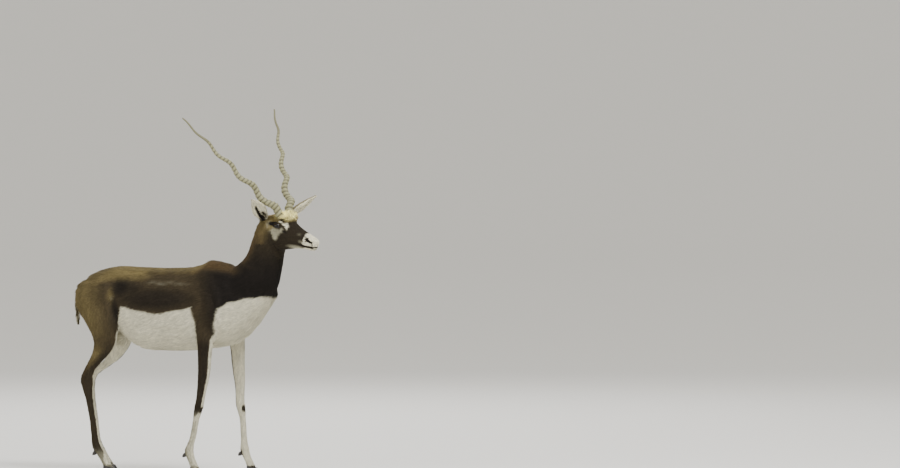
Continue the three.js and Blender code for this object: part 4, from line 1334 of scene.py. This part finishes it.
@dataclass
class CoatGrower:
    """Grows the strands of the coat on the skin, each lying along it."""

    skin: Skin
    marks: Markings
    unwrap: Unwrap
    place: Placement
    comb_rounds: int = 40
    size_range: tuple[float, float] = (0.75, 1.25)
    lift_range: tuple[float, float] = (0.4, 1.5)
    sway: float = 0.12
    roll: float = 0.12
    root_depth: float = 0.4
    tone_spread: float = 0.13
    tone_range: tuple[float, float] = (0.55, 1.5)

    def __post_init__(self) -> None:
        """Sets up the random numbers."""
        self.dice = np.random.default_rng(SEED)
        self.table = self.dice.uniform(-1.0, 1.0, TUFT_NUMBERS)

    def comb(self) -> None:
        """Sets the lie of the hair over the whole skin, smooth from part to part."""
        skin = self.skin
        flow = np.stack([flow_of(part, self.place) for part in Part])[skin.labels]
        flow[:, 2] += 0.3 * smoothstep(560, 470, skin.points[:, 2]) * (skin.labels == Part.TORSO)
        sideways = np.sign(self.place.to_head(skin.points)[:, 1]) * (skin.labels == Part.HEAD)
        flow += 0.25 * sideways[:, None] * self.place.head_turn[:, 1]
        for _ in range(self.comb_rounds):
            flow = 0.4 * flow + 0.6 * skin.neighbour_mean(flow)
            flow -= skin.normals * (flow * skin.normals).sum(1, keepdims=True)
            flow = unit(flow)
        skin.lie = flow

    def grow(self) -> list[tuple[str, dict[str, np.ndarray]]]:
        """Strands for every part, in batches small enough for one piece."""
        skin = self.skin
        ring = skin.face_corners()
        corners = skin.points[ring]
        first = np.cross(corners[:, 1] - corners[:, 0], corners[:, 2] - corners[:, 0])
        second = np.cross(corners[:, 2] - corners[:, 0], corners[:, 3] - corners[:, 0])
        area = 0.5 * (np.linalg.norm(first, axis=1) + np.linalg.norm(second, axis=1))
        face_part = skin.labels[ring[:, 0]]
        batches = []
        for part, plan in COAT_PLANS.items():
            mine = np.flatnonzero((face_part == part) & self.hairy(ring, part))
            chance = area[mine] * self.density(corners[mine].mean(1), part)
            picked = self.dice.choice(mine, plan.strands, p=chance / chance.sum())
            for start in range(0, plan.strands, MOST_STRANDS):
                chosen = picked[start : start + MOST_STRANDS]
                name = f"coat_{part.name.lower()}_{start // MOST_STRANDS + 1}"
                batches.append((name, self.strands(ring[chosen], part, plan)))
        return batches

    def hairy(self, ring: np.ndarray, part: Part) -> np.ndarray:
        """Faces that hair grows on: all but the eyes' openings and the nostrils."""
        bare = np.zeros(len(ring), dtype=bool)
        if part is not Part.HEAD:
            return ~bare
        local = self.place.to_head(self.skin.points[ring[:, 0]])
        for side in (1, -1):
            bare |= lid_opening(local, side) < 1.12
            bare |= slit(local, side, NOSTRIL) < 0.85
        return ~bare

    def density(self, points: np.ndarray, part: Part) -> np.ndarray:
        """More strands to the area where they are shorter."""
        if part is Part.HEAD:
            return np.interp(self.place.to_head(points)[:, 0], [0, 100, 200], [1.0, 1.4, 2.4])
        if part in LEG_PARTS:
            return np.interp(points[:, 2], [20, 300, 600], [1.8, 1.5, 0.9])
        return np.ones(len(points))

    def strands(self, ring: np.ndarray, part: Part, plan: CoatPlan) -> dict[str, np.ndarray]:
        """One batch of strands, each with two corners at its root, two half way and one at its tip."""
        skin, dice = self.skin, self.dice
        count = len(ring)
        u, v = dice.random((2, count))
        weights = np.stack([(1 - u) * (1 - v), u * (1 - v), u * v, (1 - u) * v], axis=1)[:, :, None]
        root = (skin.points[ring] * weights).sum(1)
        normal = unit((skin.normals[ring] * weights).sum(1))
        lie = (skin.lie[ring] * weights).sum(1)
        lie = unit(lie - normal * (lie * normal).sum(1, keepdims=True))
        side = np.cross(normal, lie)
        crown = self.crown(root, part)
        sway = dice.normal(0, self.sway, count) + 0.08 * np.sin(root[:, 0] / 14 + root[:, 2] / 9)
        sway += (0.12 + 0.9 * crown) * self.tufts(root, 8.0)
        lie = unit(lie + side * sway[:, None])
        side = np.cross(normal, lie)
        length = plan.length * self.length_share(root, normal, part)
        length = length * dice.uniform(*self.size_range, count)
        width = plan.width * dice.uniform(*self.size_range, count)
        lift = plan.lift * dice.uniform(*self.lift_range, count)
        lift = lift * (1 + crown * (1.6 + 1.4 * self.tufts(root, 6.0)))
        rise = unit(lie + normal * lift[:, None])
        middle = root + rise * (0.55 * length)[:, None]
        tip = root + lie * (0.97 * length)[:, None] + normal * (0.55 * lift * length)[:, None]
        base = root - normal * self.root_depth
        roll = unit(side + normal * dice.normal(0, self.roll, count)[:, None])
        half = roll * (0.5 * width)[:, None]
        corners = [base - half, base + half, middle - 0.7 * half, middle + 0.7 * half, tip]
        labels = np.full(count, int(part))
        fields = self.marks.at(root, normal, labels)
        fields[Mark.CREAM] = fields[Mark.CREAM] + (0.46 * self.tufts(root, 5.5) - 0.14) * crown
        # A gain above one is painted light, on the head and the ears
        tone = plan.brightness * np.clip(dice.normal(1.0, self.tone_spread, count), *self.tone_range)
        tone = tone * (1 + (0.03 + 0.16 * crown) * self.tufts(root, 7.0))
        return {
            "points": np.stack(corners, axis=1).reshape(-1, 3),
            "tone": (tone[:, None] * STRAND_TONES).ravel(),
            "grain": np.repeat(grain_at(root, labels, self.place), STRAND_CORNERS, axis=0),
            "flat": self.unwrap.lay(root, normal, part, root),
            **{mark.value: np.repeat(value, STRAND_CORNERS) for mark, value in fields.items()},
        }

    def tufts(self, root: np.ndarray, size: float) -> np.ndarray:
        """A number from -1 to 1 that strands growing close together share."""
        cell = np.floor((root + 0.2 * root[:, [1, 2, 0]]) / size).astype(np.int64)
        return self.table[(cell @ TUFT_PRIMES) % len(self.table)]

    def crown(self, root: np.ndarray, part: Part) -> np.ndarray:
        """How far each place belongs to the tousled crown between the horns and the eyes."""
        if part is not Part.HEAD:
            return np.zeros(len(root))
        x, y, z = self.place.to_head(root).T
        return np.exp(-(((x - 60) / 27) ** 2) - ((z - 60) / 17) ** 2) * smoothstep(42, 24, np.abs(y))

    def length_share(self, root: np.ndarray, normal: np.ndarray, part: Part) -> np.ndarray:
        """Longer hair on the crown, in the ears, under the trunk and high on the legs."""
        share = np.ones(len(root))
        if part is Part.HEAD:
            local = self.place.to_head(root)
            share = np.interp(local[:, 0], [-20, 20, 90, 130, 205], [2.2, 1.8, 1.1, 0.9, 0.6])
            share += 2.2 * self.crown(root, part)
            eye = np.linalg.norm(folded(local) - EYE_PLACE, axis=1)
            share *= smoothstep(12, 34, eye) * 0.75 + 0.25
        elif part in EARS:
            side = side_of(part)
            run = self.place.to_ear(root, side)[:, 0]
            inside = smoothstep(-0.1, 0.4, self.place.out_of_ear(normal, side))
            share += inside * np.interp(run, [10, 50, 110, 140], [1.6, 1.3, 0.7, 0.2])
        elif part in LEG_PARTS:
            share = np.interp(root[:, 2], [20, 60, 130, 330, 560], [0.9, 0.8, 0.7, 0.9, 1.3])
        elif part is Part.TORSO:
            share += 0.5 * smoothstep(0.2, 0.8, -normal[:, 2])
        elif part is Part.TAIL:
            share = np.interp(root[:, 2], [530, 570], [0.3, 1.0])
        return share


# A strand is a square and a triangle on five corners, darker at the root than at the tip
STRAND_CORNERS = 5
STRAND_FACES = np.array([0, 1, 3, 2, 2, 3, 4])
STRAND_SIZES = np.array([4, 3])
STRAND_TONES = np.array([0.76, 0.76, 1.0, 1.0, 1.1])
STRAND_PATCH = np.array([(-1, -1), (1, -1), (-0.7, 0), (0.7, 0), (0, 1)]) * 0.0015


def shown(mesh: bpy.types.Mesh, name: str, material: bpy.types.Material) -> bpy.types.Object:
    """Adds a mesh to the scene as a piece of the object."""
    mesh.materials.clear()
    mesh.materials.append(material)
    piece = added(name, mesh)
    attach(piece, BODY)
    log.info("%s: %d faces", name, len(mesh.polygons))
    return piece


def add_attribute(mesh: bpy.types.Mesh, name: str, values: np.ndarray) -> None:
    """Stores one number or one vector on every corner."""
    kind, key = ("FLOAT", "value") if values.ndim == 1 else ("FLOAT_VECTOR", "vector")
    attribute = mesh.attributes.new(name, kind, "POINT")
    attribute.data.foreach_set(key, values.astype(np.float32).ravel())


def add_unwrap(mesh: bpy.types.Mesh, flat: np.ndarray) -> None:
    """Stores the flat place of every face corner."""
    layer = mesh.uv_layers.new(name=UV_NAME)
    layer.data.foreach_set("uv", flat.astype(np.float32).ravel())


def mesh_from(points: np.ndarray, faces: np.ndarray, sizes: np.ndarray, name: str) -> bpy.types.Mesh:
    """A smooth mesh from arrays, points in the row frame."""
    mesh = bpy.data.meshes.new(name)
    mesh.vertices.add(len(points))
    mesh.vertices.foreach_set("co", points.astype(np.float32).ravel())
    mesh.loops.add(len(faces))
    mesh.loops.foreach_set("vertex_index", faces.astype(np.int32))
    mesh.polygons.add(len(sizes))
    mesh.polygons.foreach_set("loop_start", starts_of(sizes).astype(np.int32))
    mesh.update(calc_edges=True)
    mesh.validate()
    shade_smooth(mesh)
    return mesh


def wrapped(
    rows: Sequence[float],
    sides: int,
    point_at: Callable[[float, float], np.ndarray],
    place: Placement,
    name: str,
) -> bpy.types.Mesh:
    """A closed tube: a grid rolled up, its seam welded and its ends filled.

    Args:
        rows: Places of the rings along it.
        sides: Corners of a ring.
        point_at: Gives the point at a place and an angle, in the design frame.
        place: Takes the points to the row frame.
        name: The mesh's name.

    Returns:
        The mesh, faces outwards.
    """
    form = bmesh.new()
    bmesh.ops.create_grid(form, x_segments=sides, y_segments=len(rows) - 1, size=1.0, calc_uvs=True)
    form.verts.ensure_lookup_table()
    for vert in form.verts:
        angle = math.tau * (vert.co.x + 1) / 2
        row = rows[round((vert.co.y + 1) / 2 * (len(rows) - 1))]
        vert.co = Vector(place.to_row(point_at(row, angle)))
    bmesh.ops.remove_doubles(form, verts=form.verts, dist=1e-6)
    bmesh.ops.holes_fill(form, edges=[edge for edge in form.edges if edge.is_boundary], sides=0)
    bmesh.ops.triangulate(form, faces=[face for face in form.faces if len(face.verts) > 4])
    bmesh.ops.recalc_face_normals(form, faces=form.faces)
    mesh = finished(form, name)
    shade_smooth(mesh)
    return mesh


@dataclass
class HornMaker:
    """The two corkscrew horns with their raised rings."""

    place: Placement
    length: float = 520.0
    base_radius: float = 17.5
    tip_radius: float = 2.6
    turn: float = 112.0
    coil_radius: float = 8.5
    coil_start: float = math.radians(124)
    rings: int = 28
    ringed_share: float = 0.76
    rows_per_ring: int = 8
    tip_rows: int = 40
    sides: int = 28
    ring_edge: float = 1.4
    plain_crest: float = 0.3
    rounded_from: float = 0.992

    def frame(self, side: int) -> np.ndarray:
        """The horn's own frame in the head's: Z along its straight line."""
        along = unit(np.array([-0.63, side * 0.47, 0.62]))
        turn = Vector((0, 0, 1)).rotation_difference(Vector(along)).to_matrix()
        frame = np.eye(4)
        frame[:3, :3] = np.array(turn)
        frame[:3, 3] = (65, side * 16.5, 46)
        return frame

    def mesh(self, side: int) -> bpy.types.Mesh:
        """One horn, from its base to its tip."""
        ringed_length = self.length * self.ringed_share
        spacing = ringed_length / self.rings
        frame = self.frame(side)
        ringed = np.arange(0, ringed_length, spacing / self.rows_per_ring)
        rows = [*ringed, *np.linspace(ringed_length, self.length, self.tip_rows)]

        def point_at(run: float, angle: float) -> np.ndarray:
            share = run / self.length
            phase = self.coil_start + math.tau * run / self.turn
            coil = self.coil_radius * min(run / 60, 1) * math.sqrt(max(1 - share, 0))
            crest = float(self.crest(run / spacing + 0.06 * math.sin(angle - phase), share))
            taper = self.base_radius + (self.tip_radius - self.base_radius) * share**0.8
            front = 0.06 * math.cos(angle - phase)
            radius = taper * (0.88 + (0.15 + front) * crest)
            if share > self.rounded_from:
                radius *= math.sqrt(max(1 - ((share - self.rounded_from) / 0.008) ** 2, 0.02))
            local = np.array(
                [
                    coil * math.cos(phase) + radius * math.cos(angle),
                    side * coil * math.sin(phase) + radius * math.sin(angle),
                    run,
                ]
            )
            return self.place.from_head(frame[:3, :3] @ local + frame[:3, 3])

        mesh = wrapped(rows, self.sides, point_at, self.place, "horn")
        on_head = self.place.to_head(self.place.to_design(values_of(mesh.vertices, "co", 3)))
        run = ((on_head - frame[:3, 3]) @ frame[:3, :3])[:, 2]
        add_attribute(mesh, "crest", self.crest(run / spacing, run / self.length))
        return mesh

    def crest(self, rings: np.ndarray | float, share: np.ndarray | float) -> np.ndarray:
        """How high the surface stands, from 0 in a groove to 1 on a ring.

        Args:
            rings: How many rings lie between the base and each place.
            share: Share of the way to the tip, near which the rings run out.

        Returns:
            The height at each place.
        """
        ringed = 1 - smoothstep(0.7, 0.8, np.asarray(share))
        wave = np.abs(np.sin(math.pi * rings)) ** self.ring_edge
        return wave * ringed + self.plain_crest * (1 - ringed)


# A claw by height: how far forward its middle lies, half its length and half its width
CLAW_ROWS = np.array(
    [(0, 9, 25, 8), (12, 6.5, 21.5, 7.9), (24, 3, 17, 7.6), (40, -1, 13.5, 7.2)], dtype=float
)


@dataclass
class HoofMaker:
    """Cloven hooves and the dewclaws behind the fetlocks."""

    place: Placement
    spread: float = 9.3
    slant: float = math.tan(math.radians(14))
    claw_sides: int = 40
    dewclaw_radii: Triple = (5, 4.6, 9.5)
    dewclaw_tilt: float = math.radians(32)
    dewclaw_back: float = 17.5
    dewclaw_out: float = 8
    dewclaw_drop: float = 17
    dewclaw_sides: int = 18

    def claw_section(self, height: float) -> tuple[float, ...]:
        """How far forward a claw's middle lies at a height, half its length and half its width."""
        heights, *columns = CLAW_ROWS.T
        return tuple(np.interp(height, heights, column) for column in columns)

    def claw(self, part: Part, inner: bool) -> bpy.types.Mesh:
        """One claw with a flat sole and faint rings of growth."""
        centre_x, centre_y = leg_centre(part, CORONET)
        out = (-1 if inner else 1) * side_of(part)

        def point_at(share: float, angle: float) -> np.ndarray:
            height = share * CORONET
            for _ in range(4):
                shift, half_length, _ = self.claw_section(height)
                height = share * (CORONET - self.slant * (shift + half_length * math.cos(angle)))
            shift, half_length, half_width = self.claw_section(height)
            worn = 1.0 - 0.05 * math.exp(-height / 1.2)
            ring = 1.0 + 0.012 * math.sin(height * 1.9) * min(height / 4, 1)
            point = 1 - 0.42 * math.cos(angle)
            return np.array(
                [
                    centre_x + shift + half_length * worn * ring * math.cos(angle),
                    centre_y + out * self.spread + half_width * worn * ring * point * math.sin(angle),
                    height,
                ]
            )

        rows = [0, 0.02, 0.05, *np.linspace(0.1, 1.0, 24)]
        return wrapped(rows, self.claw_sides, point_at, self.place, "claw")

    def dewclaw(self, part: Part, inner: bool) -> bpy.types.Mesh:
        """A small horny stud, drawn to a blunt point."""
        centre_x, centre_y = leg_centre(part, FETLOCK - 10)
        out = (-1 if inner else 1) * side_of(part)
        deep, wide, tall = self.dewclaw_radii
        cos, sin = math.cos(self.dewclaw_tilt), math.sin(self.dewclaw_tilt)
        middle = np.array(
            [centre_x - self.dewclaw_back, centre_y + out * self.dewclaw_out, FETLOCK - self.dewclaw_drop]
        )

        def point_at(share: float, angle: float) -> np.ndarray:
            girth = math.sin(math.pi * min(max(share, 0.01), 0.99))
            x, y = deep * girth * math.cos(angle), wide * girth * math.sin(angle)
            z = tall * -math.cos(math.pi * share)
            return np.array([x * cos + z * sin, y, -x * sin + z * cos]) + middle

        rows = list(np.linspace(0, 1, 15))
        return wrapped(rows, self.dewclaw_sides, point_at, self.place, "dewclaw")


@dataclass
class EyeMaker:
    """Eyeballs with a bulging cornea and a dark iris."""

    place: Placement
    radius: float = EYE_RADIUS - 0.4
    bulge: float = 0.9
    segments: int = 48

    def mesh(self, side: int) -> bpy.types.Mesh:
        """One eyeball that looks out along its line of sight."""
        form = bmesh.new()
        bmesh.ops.create_uvsphere(
            form, u_segments=self.segments, v_segments=self.segments * 2 // 3, radius=1.0
        )
        forward, up, sight = eye_axes(side)
        basis = np.stack([forward, up, sight], axis=1)
        gaze = np.array([vert.co[:] for vert in form.verts])
        for vert, way in zip(form.verts, gaze):
            bulge = self.bulge * float(smoothstep(0.72, 1.0, way[2]))
            local = basis @ (way * (self.radius + bulge)) + EYE_PLACE * [1, side, 1]
            vert.co = Vector(self.place.to_row(self.place.from_head(local)))
        bmesh.ops.recalc_face_normals(form, faces=form.faces)
        mesh = finished(form, "eye")
        add_attribute(mesh, "gaze", gaze)
        shade_smooth(mesh)
        return mesh


@dataclass(frozen=True)
class Lamp:
    """A square light: its place and width in metres and its power in watts."""

    name: str
    place: Triple
    energy: float
    size: float


@dataclass
class Studio:
    """Floor, lights and the camera that sees the photo's view."""

    lens: float = 222.24
    camera_place: Triple = (7.47929, -18.55029, 1.34590)
    azimuth_deg: float = 19.39
    pitch_deg: float = 1.38
    floor_inner: float = 5.0
    floor_flat: float = 26.0
    floor_sweep: float = 14.0
    floor_colour: Triple = (0.80, 0.79, 0.76)
    floor_roughness: float = 0.9
    lamps: tuple[Lamp, ...] = (
        Lamp("key", (3.4, -2.2, 5.2), 350.0, 1.8),
        Lamp("fill", (-3.6, -5.2, 2.6), 110.0, 3.5),
        Lamp("rim", (-1.5, 4.5, 4.0), 160.0, 2.5),
    )
    lamp_target: Triple = (0, 0, 0.6)
    world_colour: Triple = (1.0, 0.98, 0.93)
    world_strength: float = 0.92

    def floor(self) -> None:
        """A wide pale floor at the height of the soles that sweeps up far away on every side."""
        form = bmesh.new()
        flat, sweep = self.floor_flat, self.floor_sweep
        angles = [math.radians(angle) for angle in range(6, 91, 6)]
        curve = [(flat + sweep * math.sin(angle), sweep - sweep * math.cos(angle)) for angle in angles]
        bmesh.ops.create_circle(form, segments=96, radius=self.floor_inner)
        rim = form.edges[:]
        bmesh.ops.contextual_create(form, geom=rim)
        for radius, height in [(flat, 0.0), *curve]:
            grown = bmesh.ops.extrude_edge_only(form, edges=rim)["geom"]
            rim = [item for item in grown if isinstance(item, bmesh.types.BMEdge)]
            for vert in (item for item in grown if isinstance(item, bmesh.types.BMVert)):
                way = Vector((vert.co.x, vert.co.y, 0)).normalized() * radius
                vert.co = Vector((way.x, way.y, height))
        bmesh.ops.recalc_face_normals(form, faces=form.faces[:])
        mesh = finished(form, "floor")
        shade_smooth(mesh)
        material, shader = principled("floor")
        shader.inputs["Base Color"].default_value = (*self.floor_colour, 1)
        shader.inputs["Roughness"].default_value = self.floor_roughness
        mesh.materials.append(material)
        piece = added("floor", mesh)

    def lights(self) -> None:
        """A high soft key from the right, a broad fill, a light from behind and a bright surround."""
        for lamp in self.lamps:
            light = bpy.data.lights.new(lamp.name, "AREA")
            light.energy = lamp.energy
            light.size = lamp.size
            self.aim(added(lamp.name, light), lamp.place, Vector(self.lamp_target) - Vector(lamp.place))
        world = bpy.data.worlds.new("studio")
        world.use_nodes = True
        backdrop = next(n for n in world.node_tree.nodes if n.type == "BACKGROUND")
        backdrop.inputs["Color"].default_value = (*self.world_colour, 1)
        backdrop.inputs["Strength"].default_value = self.world_strength
        bpy.context.scene.world = world

    def aim(self, item: bpy.types.Object, place: Triple, sight: Vector) -> None:
        """Puts a light or a camera in its place and turns it along its sight."""
        item.location = place
        item.rotation_mode = "QUATERNION"
        item.rotation_quaternion = sight.to_track_quat("-Z", "Y")

    def camera(self) -> None:
        """The photo's view: far away, a little in front of the right flank, tilted slightly down."""
        data = bpy.data.cameras.new("camera")
        data.sensor_width = 36.0
        data.lens = self.lens
        data.clip_end = 200.0
        azimuth, pitch = math.radians(self.azimuth_deg), math.radians(self.pitch_deg)
        sight = Vector(
            (-math.sin(azimuth) * math.cos(pitch), math.cos(azimuth) * math.cos(pitch), -math.sin(pitch))
        )
        item = added("camera", data)
        self.aim(item, self.camera_place, sight)
        bpy.context.scene.camera = item


@dataclass
class Blackbuck:
    """Builds every piece of the animal."""

    nodes: dict[str, bpy.types.Object]
    skin_tone: float = 0.8
    atlas_columns: int = 4
    atlas_margin: float = 0.01

    def __post_init__(self) -> None:
        """Finds the design frame and makes what all the pieces share."""
        self.place = Placement.measured()
        self.marks = Markings(self.place)
        self.unwrap = Unwrap(self.place)
        self.materials = Materials(CoatFinish(), HornFinish(), HoofFinish(), EyeFinish())
        self.coat = self.materials.coat()

    def build(self) -> None:
        """Skin first, since the coat grows on it, then the hard pieces."""
        skin = SkinBuilder(self.nodes, self.place).build()
        Sculptor(self.place).shape(skin)
        grower = CoatGrower(skin, self.marks, self.unwrap, self.place)
        grower.comb()
        self.show_skin(skin)
        for name, batch in grower.grow():
            self.show_batch(name, batch)
        self.show_hard_pieces()

    def show_skin(self, skin: Skin) -> None:
        """The skin as a piece with its marks and unwrap."""
        mesh = mesh_from(self.place.to_row(skin.points), skin.faces, skin.face_sizes, "skin")
        for mark, value in self.marks.at(skin.points, skin.normals, skin.labels).items():
            add_attribute(mesh, mark.value, value)
        add_attribute(mesh, "tone", np.full(len(skin.points), self.skin_tone))
        add_attribute(mesh, "grain", grain_at(skin.points, skin.labels, self.place))
        add_unwrap(mesh, self.skin_unwrap(skin))
        piece = shown(mesh, "skin", self.coat)
        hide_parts(*FLESH)

    def skin_unwrap(self, skin: Skin) -> np.ndarray:
        """Every face corner's place in the skin's atlas, one cell to a part."""
        face_of = np.repeat(np.arange(len(skin.face_sizes)), skin.face_sizes)
        starts = starts_of(skin.face_sizes)
        centres = np.add.reduceat(skin.points[skin.faces], starts) / skin.face_sizes[:, None]
        facing = np.add.reduceat(skin.normals[skin.faces], starts)
        part_of = skin.labels[skin.faces[starts]][face_of]
        flat = np.zeros((len(skin.faces), 2))
        columns, margin = self.atlas_columns, self.atlas_margin
        for part in Part:
            here = part_of == part
            if not here.any():
                continue
            cell = np.array([part % columns, part // columns], dtype=float)
            laid = self.unwrap.lay(
                skin.points[skin.faces[here]], facing[face_of[here]], part, centres[face_of[here]]
            )
            flat[here] = (cell + margin + (1 - 2 * margin) * laid) / columns
        return flat

    def show_batch(self, name: str, batch: dict[str, np.ndarray]) -> None:
        """One batch of strands as a piece."""
        count = len(batch["flat"])
        faces = (STRAND_FACES + STRAND_CORNERS * np.arange(count)[:, None]).ravel()
        sizes = np.tile(STRAND_SIZES, count)
        mesh = mesh_from(self.place.to_row(batch["points"]), faces, sizes, name)
        for key, values in batch.items():
            if key not in ("points", "flat"):
                add_attribute(mesh, key, values)
        corners = (batch["flat"][:, None, :] * 0.99 + 0.005 + STRAND_PATCH).clip(0, 1)
        add_unwrap(mesh, corners[:, STRAND_FACES])
        shown(mesh, name, self.coat)

    def show_hard_pieces(self) -> None:
        """Horns, hooves, dewclaws and eyes in place of their CAD nodes."""
        horn, hoof, eye = self.materials.horn(), self.materials.hoof(), self.materials.eye()
        horns, hooves, eyes = HornMaker(self.place), HoofMaker(self.place), EyeMaker(self.place)
        for word, side in (("right", -1), ("left", 1)):
            piece = shown(horns.mesh(side), f"fine_horn_{word}", horn)
            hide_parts(f"horn_{word}")
            piece = shown(eyes.mesh(side), f"fine_eye_{word}", eye)
            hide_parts(f"eye_{word}")
        for leg, part in LEGS.items():
            for word, inner in (("inner", True), ("outer", False)):
                piece = shown(hooves.claw(part, inner), f"fine_{leg}_claw_{word}", hoof)
                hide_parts(f"{leg}_claw_{word}")
                piece = shown(hooves.dewclaw(part, inner), f"fine_{leg}_dewclaw_{word}", hoof)
                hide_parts(f"{leg}_dewclaw_{word}")


def main() -> None:
    """Builds the scene and notes the faces of each piece."""
    logging.basicConfig(level=logging.INFO, format="%(message)s")
    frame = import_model()
    Blackbuck(frame["nodes"]).build()
    studio = Studio()
    studio.floor()
    studio.lights()
    studio.camera()


if __name__ == "__main__":
    main()
